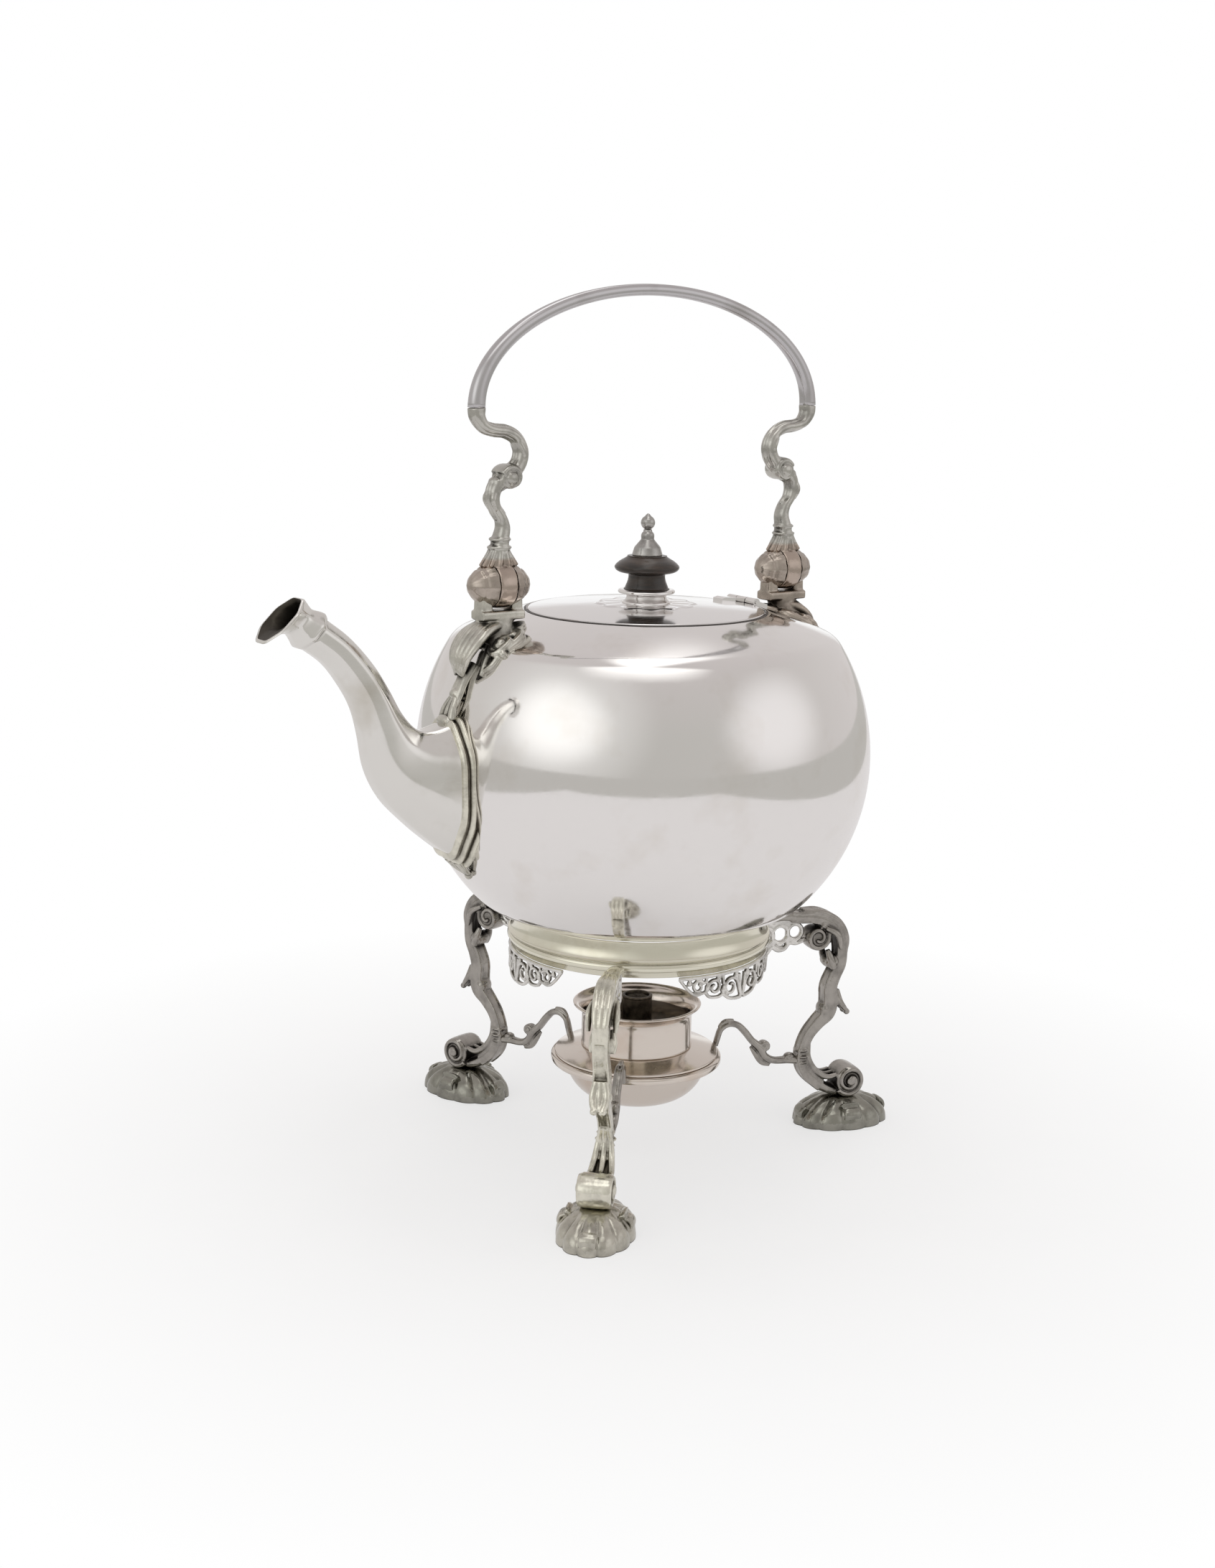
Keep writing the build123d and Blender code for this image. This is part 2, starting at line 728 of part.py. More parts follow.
def stand_ring():
    inner_top = base_surface(ring_bore) - seat_gap
    outer_top = base_surface(ring_top) - seat_gap
    cove = ring_foot_height + 6.2
    face = upright(
        Line((ring_bore, ring_foot_height), (ring_bore, inner_top)),
        Line((ring_bore, inner_top), (ring_top, outer_top)),
        ThreePointArc((ring_top, outer_top), (ring_top + 0.7, (outer_top + cove) / 2),
                      (ring_outer - 0.3, cove)),
        Line((ring_outer - 0.3, cove), (ring_outer - 1.0, cove - 0.4)),
        Line((ring_outer - 1.0, cove - 0.4), (ring_outer - 0.7, cove - 0.7)),
        ThreePointArc((ring_outer - 0.7, cove - 0.7), (ring_outer, cove - 2.2),
                      (ring_outer - 0.7, cove - 3.7)),
        Line((ring_outer - 0.7, cove - 3.7), (ring_step, cove - 4.0)),
        Line((ring_step, cove - 4.0), (ring_step, ring_foot_height)),
        Line((ring_step, ring_foot_height), (ring_bore, ring_foot_height)),
    )
    return revolve(face, Axis.Z)


def apron(angle):
    """Pierced plate under the ring, between two legs."""
    low = ring_foot_height - apron_height
    outer = apron_inner + apron_thickness
    shell = turned([(apron_inner, low), (outer, low),
                    (outer, ring_foot_height), (apron_inner, ring_foot_height)])
    span = outer * sin(radians(apron_half_angle))
    outline = []
    for step in range(25):
        share = step / 12 - 1
        drop = 0.62 + 0.38 * (1 - abs(share)) + 0.10 * cos(3 * 360 * radians(share) / 2)
        drop = min(drop * (1 - max(abs(share) - 0.86, 0) * 5.0), 1.0)
        outline.append((share * span, ring_foot_height - apron_height * max(drop, 0.25)))
    outline += [(span, ring_foot_height), (-span, ring_foot_height)]
    window = Plane.YZ * make_face(Polyline(*outline, close=True))
    body = shell & extrude(window, 2 * outer)
    hole_height = ring_foot_height - apron_height * 0.42
    for share, radius in ((-0.66, 1.9), (-0.33, 2.3), (0.0, 2.8), (0.33, 2.3), (0.66, 1.9)):
        turn = share * apron_half_angle
        bore = Rot(0, 90, 0) * Cylinder(radius, 2 * outer)
        body -= around(Pos(outer, 0, hole_height) * bore, turn)
    return around(body, angle)


# centre line of a leg: (reach, height)
leg_path = [
    (50.5, 89.8), (57.0, 91.4), (64.0, 92.4), (71.0, 91.6), (78.5, 90.9), (85.0, 88.4),
    (89.6, 83.6), (91.2, 77.0), (90.9, 70.0), (88.4, 64.8), (86.6, 59.6), (86.9, 53.6),
    (86.0, 48.6), (81.9, 44.6), (77.9, 40.0), (75.5, 34.6), (74.8, 29.0), (76.6, 23.8),
    (80.6, 19.4), (85.6, 15.8), (91.0, 13.6),
]
leg_thickness = [
    3.6, 4.0, 4.6, 4.8, 5.0, 5.4, 5.4, 5.0, 5.4, 6.0, 6.4, 7.0, 6.6, 5.4, 4.8, 4.6, 4.6, 5.0,
    5.2, 5.0, 4.0,
]
# half widths of a leg, from below: (half width, height)
leg_widths = [
    (6.4, 8.0), (6.2, 16.0), (4.6, 24.0), (3.8, 32.0), (3.8, 40.0), (4.6, 50.0),
    (4.7, 56.0), (4.2, 64.0), (4.5, 74.0), (5.2, 83.0), (5.2, 88.0), (4.0, 92.0), (3.6, 99.0),
]
bracket_path = [
    (74.0, 28.6), (68.5, 29.2), (62.5, 29.6), (58.2, 31.8), (55.4, 36.2), (52.0, 39.4),
    (48.8, 43.4), (45.2, 46.8), (41.2, 47.6), (37.8, 45.8), (36.4, 42.4), (35.2, 38.6),
]


def leg_web():
    """Pierced plate that joins the leg's head to the ring."""
    web = plate([
        (apron_inner, 91.5), (apron_inner, 76.5), (56.0, 74.6), (60.0, 77.6), (63.5, 76.2),
        (67.0, 79.8), (71.5, 79.0), (75.0, 81.5), (76.0, 91.0), (64.0, 93.0),
    ], web_thickness)
    for reach, height, radius in ((56.5, 84.2, 2.5), (62.6, 85.2, 2.3), (68.6, 85.6, 2.1)):
        web -= drum(reach, height, radius, 3 * web_thickness)
    return web


def leg(ring):
    """One cast leg, drawn along +X."""
    body = strap(leg_path, leg_thickness, 3 * leg_width, 36) & waisted(leg_widths)
    body += leg_web()
    body += drum(curl_reach, curl_height, curl_radius, leg_width + 1.5)
    body += drum(curl_reach, curl_height, curl_radius * 0.45, leg_width + 3.5)
    body += drum(87.2, 71.4, 3.4, leg_width - 1.5)
    body += plate([(84.5, 56.0), (90.0, 54.6), (95.6, 48.8), (94.0, 47.6), (84.0, 46.0)], 5.0)
    body += drum(volute_reach, volute_height, volute_radius, volute_width)
    body += drum(volute_reach, volute_height, volute_radius * 0.5, volute_width + 2.0)
    reach_in = plate([(ring_step, 60), (ring_step, 100), (20, 100), (20, 60)], 60)
    return body - ring - reach_in


def foot_outline(scale):
    """Scalloped oval of the shell foot."""
    points = []
    for step in range(4 * foot_lobes):
        turn = radians(90.0 * step / foot_lobes)
        wave = 1 + 0.035 * cos(foot_lobes * turn) * scale
        points.append((scale * wave * foot_length / 2 * cos(turn),
                       scale * wave * foot_width / 2 * sin(turn)))
    return make_face(Spline(*points, periodic=True))


def foot(standing_leg):
    """Fluted shell foot, flat underneath."""
    stages = [(0.0, 1.0), (2.4, 0.99), (7.0, 0.80), (foot_height, 0.45)]
    body = loft([Pos(foot_reach, 0, height) * foot_outline(scale) for height, scale in stages])
    return body - standing_leg


def lamp_ring():
    low = lamp_ring_height
    top = lamp_ring_top
    return turned([
        (lamp_ring_bore, low), (lamp_ring_outer - 0.8, low), (lamp_ring_outer, low + 0.8),
        (lamp_ring_outer, top - 0.8), (lamp_ring_outer - 0.8, top), (lamp_ring_bore, top),
    ])


def bracket(ring, standing_leg):
    """Scrolled arm from a leg to the lamp's ring, drawn along +X."""
    body = rod(bracket_path, [3.6, 3.2, 3.0, 3.4, 3.6, 3.0, 3.0, 2.8, 2.6, 2.4, 2.6, 3.0], 16)
    body += drum(57.9, 36.4, 2.3, bracket_width)
    return body - ring - standing_leg


# ---------------------------------------------------------------- lamp

def lamp_bowl():
    wall = lamp_wall
    low = lamp_bottom_height
    rest = lamp_rest_height
    flange_top = rest + lamp_flange_thickness
    top = lamp_top_height
    rim = lamp_opening + 1.3
    curve = lamp_radius - lamp_floor_radius
    turn = low + curve
    slant = curve * cos(radians(45))
    inner = curve - wall
    inner_slant = inner * cos(radians(45))
    flat = lamp_floor_radius
    outer = upright(
        Line((0, low), (flat, low)),
        ThreePointArc((flat, low), (flat + slant, turn - slant), (lamp_radius, turn)),
        Polyline((lamp_radius, turn), (lamp_radius, rest), (lamp_flange, rest),
                 (lamp_flange, flange_top), (rim, top), (lamp_opening, top),
                 (lamp_opening, top - wall), (lamp_radius - wall, rest + 0.2),
                 (lamp_radius - wall, turn)),
        ThreePointArc((lamp_radius - wall, turn), (flat + inner_slant, turn - inner_slant),
                      (flat, low + wall)),
        Line((flat, low + wall), (0, low + wall)),
        Line((0, low + wall), (0, low)),
    )
    return revolve(outer, Axis.Z)


def lamp_cover():
    low = cover_base_height
    rim = cover_rim_height
    spigot = lamp_opening - spigot_gap
    bore = cover_radius - cover_wall
    face = upright(
        Polyline((bore, rim - 6.0), (bore, low - spigot_depth), (spigot, low - spigot_depth),
                 (spigot, low), (cover_radius, low), (cover_radius, rim - 5.4)),
        Spline((cover_radius, rim - 5.4), (cover_radius + 0.7, rim - 2.9),
               (cover_flare, rim - 0.7), tangents=((0, 1), (1, 0.25))),
        Polyline((cover_flare, rim - 0.7), (cover_flare, rim), (cover_flare - 0.8, rim)),
        Spline((cover_flare - 0.8, rim), (cover_radius - 0.2, rim - 2.2), (bore, rim - 6.0),
               tangents=((-1, -0.25), (0, -1))),
    )
    return revolve(face, Axis.Z)


def burner_plate():
    bore = cover_radius - cover_wall
    top = cover_rim_height - burner_drop
    low = top - burner_thickness
    return turned([(tube_radius, low), (bore, low), (bore, top), (tube_radius, top)])


def wick_tube():
    low = cover_base_height - spigot_depth
    inner = tube_radius - tube_wall
    return turned([(inner, low), (tube_radius, low), (tube_radius, tube_top_height),
                   (inner, tube_top_height)])


def wick():
    low = cover_base_height - spigot_depth
    outer = tube_radius - tube_wall - wick_gap
    top = tube_top_height - wick_rise
    return turned([(0, low), (outer, low), (outer, top - 0.6), (outer - 1.6, top), (0, top)])


# ---------------------------------------------------------------- assembly

def kettle_parts():
    outside = belly(0.0)
    bore = spout_solid(-spout_wall, spout_stations)
    shell = kettle_shell(outside, bore)
    parts = {
        "kettle_body": shell - upper_space(),
        "kettle_shoulder": shell & upper_space(),
        "mouth_bezel": mouth_bezel(),
        "spout": spout(outside),
        "spout_root": spout_root(outside),
        "spout_tip": spout_tip(),
        "front_lug": around(lug(outside, outer_leaf_path, True), 180),
        "rear_lug": lug(outside, short_leaf_path, False),
        "front_bail_pin": around(joint_pin(pin_radius, pin_half_length), 180),
        "rear_bail_pin": joint_pin(pin_radius, pin_half_length),
        "lid_hinge_leaf": lid_hinge_leaf(outside),
    }
    return parts


def bail_parts():
    scroll = bail_scroll()
    return {
        "bail_bow": bail_bow(),
        "bail_scroll_front": around(scroll, 180),
        "bail_scroll_rear": scroll,
    }


def lid_parts():
    return {
        "lid": lid(),
        "lid_flange": lid_flange(),
        "lid_hinge_strap": lid_hinge_strap(),
        "lid_hinge_pin": lid_hinge_pin(),
        "finial_base": finial_base(),
        "finial_disc": finial_disc(),
        "finial_cap": finial_cap(),
        "finial_stud": finial_stud(),
        "finial_nut": finial_nut(),
    }


def stand_parts():
    ring = stand_ring()
    holder = lamp_ring()
    cast_leg = leg(ring)
    shell = foot(cast_leg)
    arm = bracket(holder, cast_leg)
    parts = {"stand_ring": ring, "lamp_ring": holder}
    for name, angle in zip(("front", "left", "right"), leg_angles):
        parts["leg_" + name] = around(cast_leg, angle)
        parts["foot_" + name] = around(shell, angle)
        parts["lamp_arm_" + name] = around(arm, angle)
    for name, angle in zip(("left", "rear", "front"), leg_angles):
        parts["apron_" + name] = apron(angle - 180.0 / leg_count)
    return parts


def lamp_parts():
    return {
        "lamp_bowl": lamp_bowl(),
        "lamp_cover": lamp_cover(),
        "burner_plate": burner_plate(),
        "wick_tube": wick_tube(),
        "wick": wick(),
    }


def all_parts():
    parts = {}
    for group in (kettle_parts, bail_parts, lid_parts, stand_parts, lamp_parts):
        parts.update(group())
    return parts


if __name__ == "__main__":
    for part_name, part_shape in all_parts().items():
        export_step(part_shape, "parts/" + part_name + ".step")
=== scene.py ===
import bpy
import math
import numpy as np
from mathutils import Matrix, Vector


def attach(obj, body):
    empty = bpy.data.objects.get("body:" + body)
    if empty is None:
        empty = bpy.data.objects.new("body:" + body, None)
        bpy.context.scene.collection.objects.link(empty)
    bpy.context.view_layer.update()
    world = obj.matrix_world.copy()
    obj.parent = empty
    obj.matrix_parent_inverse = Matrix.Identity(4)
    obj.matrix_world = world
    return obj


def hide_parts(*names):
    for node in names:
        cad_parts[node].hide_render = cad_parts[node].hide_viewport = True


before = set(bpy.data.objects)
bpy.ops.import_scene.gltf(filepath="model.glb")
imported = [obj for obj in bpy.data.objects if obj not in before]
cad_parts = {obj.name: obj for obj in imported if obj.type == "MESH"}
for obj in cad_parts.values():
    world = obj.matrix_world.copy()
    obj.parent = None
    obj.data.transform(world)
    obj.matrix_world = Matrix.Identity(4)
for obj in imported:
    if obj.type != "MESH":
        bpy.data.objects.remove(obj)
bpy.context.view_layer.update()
MM = 0.001
TAU = 2 * math.pi

# ------------------------------------------------------------------ sizes, in millimetres
BELLY_RADIUS, BELLY_HEIGHT = 90.0, 165.0
UPPER_CURVE, LOWER_CURVE = 85.0, 80.0
SHOULDER_CURVE, BASE_CURVE = 190.0, 174.0
SHOULDER_CENTRE, BASE_CENTRE = 38.4, 267.7
BODY_WALL = 1.5
MOUTH_RADIUS = 47.1
LID_RADIUS, LID_TOP = 46.5, 225.0
JOINT_REACH, JOINT_HEIGHT = 68.4, 235.5
JOINT_RADIUS, JOINT_HALF = 8.6, 13.0
TONGUE_HALF, SIDE_GAP = 3.6, 0.15
LEG_ANGLES = {"front": 225.85, "left": 105.85, "right": -14.15}
APRON_RADIUS = 51.7
BOWL_CORNER, BOWL_ROUND, BOWL_WALL = (12.0, 38.3), 16.8, 1.2
BOW_REACH, BOW_FOOT, BOW_RISE, BOW_STEPS = 78.5, 301.0, 43.8, 97
LAMP_TURN = 160
APRON_ANGLES = {"left": 165.85, "rear": 45.85, "front": -74.15}


# ------------------------------------------------------------------ shader maths

class Value:
    """A number in a node tree; sums and products on it add Math nodes."""

    def __init__(self, tree, socket):
        self.tree = tree
        self.socket = socket

    def _math(self, operation, *others):
        node = self.tree.nodes.new("ShaderNodeMath")
        node.operation = operation
        for slot, item in enumerate((self, *others)):
            if isinstance(item, Value):
                self.tree.links.new(item.socket, node.inputs[slot])
            else:
                node.inputs[slot].default_value = item
        return Value(self.tree, node.outputs[0])

    def __add__(self, other):
        return self._math("ADD", other)

    __radd__ = __add__

    def __mul__(self, other):
        return self._math("MULTIPLY", other)

    __rmul__ = __mul__

    def __sub__(self, other):
        return self._math("SUBTRACT", other)

    def __rsub__(self, other):
        return (self * -1.0) + other

    def __pow__(self, other):
        return self._math("POWER", other)

    def clamp(self, low=0.0, high=1.0):
        return self._math("MAXIMUM", low)._math("MINIMUM", high)

    def band(self, low, high):
        """0 below low, 1 above high, a straight ramp between."""
        return ((self - low) * (1.0 / (high - low))).clamp()


class Finish:
    """One procedural material."""

    def __init__(self, name):
        self.material = bpy.data.materials.new(name)
        self.material.use_nodes = True
        self.tree = self.material.node_tree
        self.tree.nodes.clear()
        self.output = self.tree.nodes.new("ShaderNodeOutputMaterial")

    def node(self, kind, settings=None, **inputs):
        made = self.tree.nodes.new(kind)
        for key, setting in (settings or {}).items():
            if key == "stops":
                ramp = made.color_ramp
                while len(ramp.elements) < len(setting):
                    ramp.elements.new(0.5)
                for element, (place, colour) in zip(ramp.elements, setting):
                    element.position = place
                    element.color = (*colour, 1.0)
            else:
                setattr(made, key, setting)
        for key, item in inputs.items():
            self.plug(made.inputs[key.replace("_", " ")], item)
        return made

    def plug(self, socket, item):
        if isinstance(item, Value):
            self.tree.links.new(item.socket, socket)
        elif isinstance(item, bpy.types.NodeSocket):
            self.tree.links.new(item, socket)
        else:
            socket.default_value = item

    def place(self, scale=(1, 1, 1)):
        """Object coordinates in metres, stretched by a scale."""
        coordinates = self.node("ShaderNodeTexCoord")
        mapping = self.node("ShaderNodeMapping", {"vector_type": "POINT"})
        self.tree.links.new(coordinates.outputs["Object"], mapping.inputs["Vector"])
        mapping.inputs["Scale"].default_value = scale
        return mapping.outputs[0]

    def noise(self, scale, detail=3.0, roughness=0.5, stretch=(1, 1, 1)):
        made = self.node("ShaderNodeTexNoise", None, Vector=self.place(stretch), Scale=scale,
                         Detail=detail, Roughness=roughness)
        return Value(self.tree, made.outputs[0])

    def cells(self, scale):
        made = self.node("ShaderNodeTexVoronoi", {"feature": "F1"}, Vector=self.place(),
                         Scale=scale)
        return Value(self.tree, made.outputs["Distance"])

    def hollow(self, distance):
        """1 on open surfaces, falling to 0 in recesses of the same piece."""
        made = self.node("ShaderNodeAmbientOcclusion", {"samples": 8, "only_local": True},
                         Distance=distance)
        return Value(self.tree, made.outputs["AO"])

    def mix(self, factor, first, second):
        made = self.node("ShaderNodeMix", {"data_type": "RGBA"})
        self.plug(made.inputs[0], factor)
        self.plug(made.inputs[6], (*first, 1.0) if isinstance(first, tuple) else first)
        self.plug(made.inputs[7], (*second, 1.0) if isinstance(second, tuple) else second)
        return made.outputs[2]

    def bump(self, height, strength, distance, normal=None):
        made = self.node("ShaderNodeBump", None, Height=height, Strength=strength,
                         Distance=distance)
        if normal is not None:
            self.plug(made.inputs["Normal"], normal)
        return made.outputs[0]

    def finish(self, colour, roughness, metallic=1.0, normal=None, coat=0.0):
        shader = self.node("ShaderNodeBsdfPrincipled")
        self.plug(shader.inputs["Base Color"],
                  (*colour, 1.0) if isinstance(colour, tuple) else colour)
        self.plug(shader.inputs["Roughness"], roughness)
        self.plug(shader.inputs["Metallic"], metallic)
        self.plug(shader.inputs["Coat Weight"], coat)
        if normal is not None:
            self.plug(shader.inputs["Normal"], normal)
        self.tree.links.new(shader.outputs[0], self.output.inputs[0])
        return self.material


def polished_silver(name, bright, warm, haze, tint=1.0):
    """Hand-polished plate: fine wipe marks, faint dents, a breath of warm tarnish, and painted
    shade with tarnish in its recesses.
    """
    made = Finish(name)
    cloud = made.noise(38.0, 4.0, 0.55)
    fine = made.noise(900.0, 3.0, 0.6, (1.0, 1.0, 0.25))
    wipes = made.noise(420.0, 4.0, 0.7, (0.15, 1.0, 1.0))
    stain = cloud.band(0.52, 0.78) * 0.35 * tint
    hollow = made.hollow(0.004)
    # painted shade with tarnish: the occlusion mask (worn) darkens recesses toward dark brown and
    # roughens them
    worn = (1.0 - hollow).band(0.25, 0.85)
    colour = made.mix(stain, bright, warm)
    colour = made.mix(worn * 0.75, colour, (0.16, 0.14, 0.115))
    roughness = wipes.band(0.35, 0.75) * 0.07 + cloud * 0.05 + worn * 0.25 + haze
    dents = made.noise(26.0, 2.0, 0.4)
    normal = made.bump(fine, 0.05, 0.00002)
    normal = made.bump(dents, 0.22, 0.0009, normal)
    return made.finish(colour, roughness, 1.0, normal)


def cast_silver(name, bright, dark, haze, depth, low_tone=None, low_height=0.0):
    """Cast silver: bright where it is rubbed, darkened in every recess by painted shade that
    stands also for oxide.
    """
    made = Finish(name)
    hollow = made.hollow(depth)
    cloud = made.noise(160.0, 4.0, 0.6)
    grain = made.noise(1400.0, 3.0, 0.6)
    pits = made.cells(700.0)
    # painted shade with oxide: the occlusion mask darkens recesses, broken up by cloud noise
    shade = (1.0 - hollow).band(0.06, 0.42)
    shade = (shade + (cloud - 0.5) * 0.6).clamp()
    rub = made.mix(cloud.band(0.40, 0.7) * 0.6, bright, tuple(0.6 * c for c in bright))
    if low_tone:
        split = made.node("ShaderNodeSeparateXYZ", None, Vector=made.place())
        low = (low_height - Value(made.tree, split.outputs[2])).band(-0.0006, 0.0006)
        rub = made.mix(low, rub, low_tone)
    colour = made.mix(shade * 0.93, rub, dark)
    roughness = shade * 0.3 + cloud * 0.12 + haze
    normal = made.bump(grain, 0.18, 0.00006)
    normal = made.bump(pits, 0.16, 0.00022, normal)
    return made.finish(colour, roughness, 1.0, normal)


def turned_wood():
    """Nearly black turned hardwood under worn wax."""
    made = Finish("dark_wood_wax")
    rings = made.noise(95.0, 5.0, 0.65, (1.0, 1.0, 6.0))
    pores = made.noise(1500.0, 2.0, 0.6, (1.0, 1.0, 0.12))
    colour = made.mix(rings.band(0.35, 0.7), (0.010, 0.0075, 0.006), (0.045, 0.027, 0.016))
    colour = made.mix(pores.band(0.62, 0.8) * 0.6, colour, (0.004, 0.003, 0.003))
    roughness = rings * 0.16 + pores * 0.12 + 0.22
    normal = made.bump(pores, 0.25, 0.00008)
    return made.finish(colour, roughness, 0.0, normal, 0.35)


def burnt_metal():
    """Lamp metal browned by the flame."""
    made = Finish("burnt_burner_metal")
    cloud = made.noise(240.0, 4.0, 0.65)
    speck = made.noise(1900.0, 2.0, 0.6)
    colour = made.mix(cloud.band(0.35, 0.7), (0.075, 0.062, 0.050), (0.26, 0.22, 0.17))
    roughness = cloud * 0.25 + 0.28
    normal = made.bump(speck, 0.3, 0.00008)
    return made.finish(colour, roughness, 1.0, normal)


def charred_wick():
    """Twisted cotton, charred at the top."""
    made = Finish("charred_wick_cotton")
    strands = made.node("ShaderNodeTexWave", {"bands_direction": "DIAGONAL"},
                        Vector=made.place((1, 1, 1)), Scale=620.0, Distortion=2.5)
    weave = Value(made.tree, strands.outputs[1])
    cloud = made.noise(900.0, 3.0, 0.6)
    colour = made.mix(weave * 0.6 + cloud * 0.4, (0.02, 0.017, 0.014), (0.20, 0.17, 0.13))
    normal = made.bump(weave, 0.7, 0.0003)
    return made.finish(colour, 0.92, 0.0, normal)


SILVER = polished_silver("polished_silver_plate", (0.87, 0.855, 0.845), (0.66, 0.60, 0.52),
                         0.035)
LID_SILVER = polished_silver("lid_silver_plate", (0.84, 0.83, 0.83), (0.66, 0.60, 0.52), 0.05)
BOW_SILVER = polished_silver("handle_bow_silver", (0.56, 0.55, 0.56), (0.30, 0.28, 0.26),
                             0.16, 1.8)
SPOUT_SILVER = polished_silver("spout_silver_plate", (0.80, 0.79, 0.76), (0.50, 0.46, 0.38),
                               0.09, 1.7)
LAMP_SILVER = polished_silver("warm_lamp_silver", (0.74, 0.68, 0.62), (0.56, 0.42, 0.32),
                              0.09, 1.9)
RING_SILVER = polished_silver("cream_ring_silver", (0.80, 0.78, 0.66), (0.54, 0.49, 0.35),
                              0.08, 1.7)
CAST = cast_silver("cast_scroll_silver", (0.66, 0.645, 0.58), (0.035, 0.029, 0.022), 0.16, 0.006)
# painted shade: the rear legs and the lamp arms under the kettle take this darker copy of the leg
# finish
DARK_CAST = cast_silver("shaded_leg_silver", (0.40, 0.38, 0.35), (0.020, 0.016, 0.013), 0.12,
                        0.010)
NECK_CAST = cast_silver("finial_silver", (0.50, 0.49, 0.47), (0.04, 0.035, 0.03), 0.15, 0.003)
# painted shade: the rear feet take this darker copy of the front foot's finish
REAR_FOOT_SHADED = cast_silver("rear_foot_shaded_silver", (0.33, 0.325, 0.285), (0.018, 0.016, 0.012), 0.11,
                        0.010)
FOOT_CAST = cast_silver("front_foot_silver", (0.58, 0.56, 0.49), (0.025, 0.02, 0.015), 0.13,
                        0.010)
# painted light: the front leg takes this lighter finish as the lit copy of the legs
CREAM_CAST = cast_silver("cream_leg_silver", (0.80, 0.78, 0.68), (0.08, 0.065, 0.045), 0.15,
                         0.005)
SCROLL_CAST = cast_silver("handle_scroll_silver", (0.56, 0.55, 0.51), (0.03, 0.026, 0.022), 0.13,
                          0.007, (0.50, 0.42, 0.36), 0.2455)
WARM_CAST = cast_silver("rosy_joint_silver", (0.50, 0.44, 0.385), (0.06, 0.042, 0.030), 0.16,
                        0.006)
LUG_WARM = cast_silver("rear_lug_silver", (0.50, 0.44, 0.38), (0.04, 0.03, 0.024), 0.16, 0.006)
PALE_CAST = cast_silver("pale_apron_silver", (0.80, 0.79, 0.76), (0.14, 0.125, 0.10), 0.14, 0.004)
# painted shade: near-black finish for the inside of the spout, which is in shade
SHADED_BORE = cast_silver("spout_bore_painted_shade", (0.07, 0.062, 0.05), (0.012, 0.010, 0.008), 0.4,
                        0.01)
# painted shadow: near-black finish for the thin ring round the mouth that stands for the shadow in
# the gap under the lid's edge
GAP_SHADOW = cast_silver("lid_joint_painted_shadow", (0.12, 0.11, 0.105), (0.02, 0.018, 0.016), 0.35, 0.002)
WOOD = turned_wood()
BURNT = burnt_metal()
WICK = charred_wick()


# ------------------------------------------------------------------ mesh tools

def place_mesh(name, mesh):
    made = bpy.data.objects.new(name, mesh)
    bpy.context.collection.objects.link(made)
    return made


def shade_smooth(mesh):
    mesh.polygons.foreach_set("use_smooth", [True] * len(mesh.polygons))


def coat_with(mesh, finish):
    mesh.materials.clear()
    mesh.materials.append(finish)


def evaluated_mesh(source):
    """Mesh of a piece with its modifiers applied."""
    graph = bpy.context.evaluated_depsgraph_get()
    return bpy.data.meshes.new_from_object(source.evaluated_get(graph))


def piece(name, points, faces, finish, body=None, slot=None, nodes=(), smooth=True):
    """A mesh piece from points in millimetres."""
    mesh = bpy.data.meshes.new(name)
    mesh.from_pydata([tuple(c * MM for c in p) for p in points], [], faces)
    mesh.validate()
    made = place_mesh(name, mesh)
    if smooth:
        shade_smooth(mesh)
    mesh.materials.append(finish)
    if body:
        settle(made, body, nodes)
    return made


def settle(made, body, nodes):
    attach(made, body)
    if nodes:
        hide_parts(*nodes)
    return made


def curve_through(points, steps):
    """Smooth interpolation (Catmull-Rom) through rows of numbers."""
    rows = np.array(points, float)
    rows = np.vstack([2 * rows[0] - rows[1], rows, 2 * rows[-1] - rows[-2]])
    out = []
    for index in range(len(rows) - 3):
        a, b, c, d = rows[index:index + 4]
        for t in np.linspace(0, 1, steps, endpoint=False):
            out.append(0.5 * (2 * b + (c - a) * t + (2 * a - 5 * b + 4 * c - d) * t * t
                              + (3 * b - a - 3 * c + d) * t ** 3))
    out.append(rows[-2])
    return np.array(out)


def grid_faces(rows, columns):
    """Quads of a grid of points, row by row; each row closes on itself."""
    faces = []
    for i in range(rows - 1):
        for j in range(columns):
            here, over = i * columns, (i + 1) * columns
            k = (j + 1) % columns
            faces.append((here + j, here + k, over + k, over + j))
    return faces


def end_caps(rows, columns):
    """Faces that close a grid's first and last row."""
    last = (rows - 1) * columns
    return [tuple(range(columns))[::-1], tuple(last + k for k in range(columns))]


def lathe_mesh(profile, segments, wave=None):
    """Points and faces of a surface turned about +Z; profile is (radius, height)."""
    profile = np.array(profile, float)
    points = []
    for radius, height in profile:
        for step in range(segments):
            turn = TAU * step / segments
            r, z = (radius, height) if wave is None else wave(radius, height, turn)
            points.append((r * math.cos(turn), r * math.sin(turn), z))
    return points, grid_faces(len(profile), segments)


def turned(name, rows, segments, *rest):
    """A lathe-turned piece; rest is its finish, body, slot (not used) and replaced nodes."""
    points, faces = lathe_mesh(rows, segments)
    return piece(name, points, faces, *rest)


def arc(centre, radius, start, end, steps):
    """Points on a circle about (reach, height), angles in degrees."""
    turns = np.radians(np.linspace(start, end, steps))
    return [(centre[0] + radius * math.cos(t), centre[1] + radius * math.sin(t)) for t in turns]


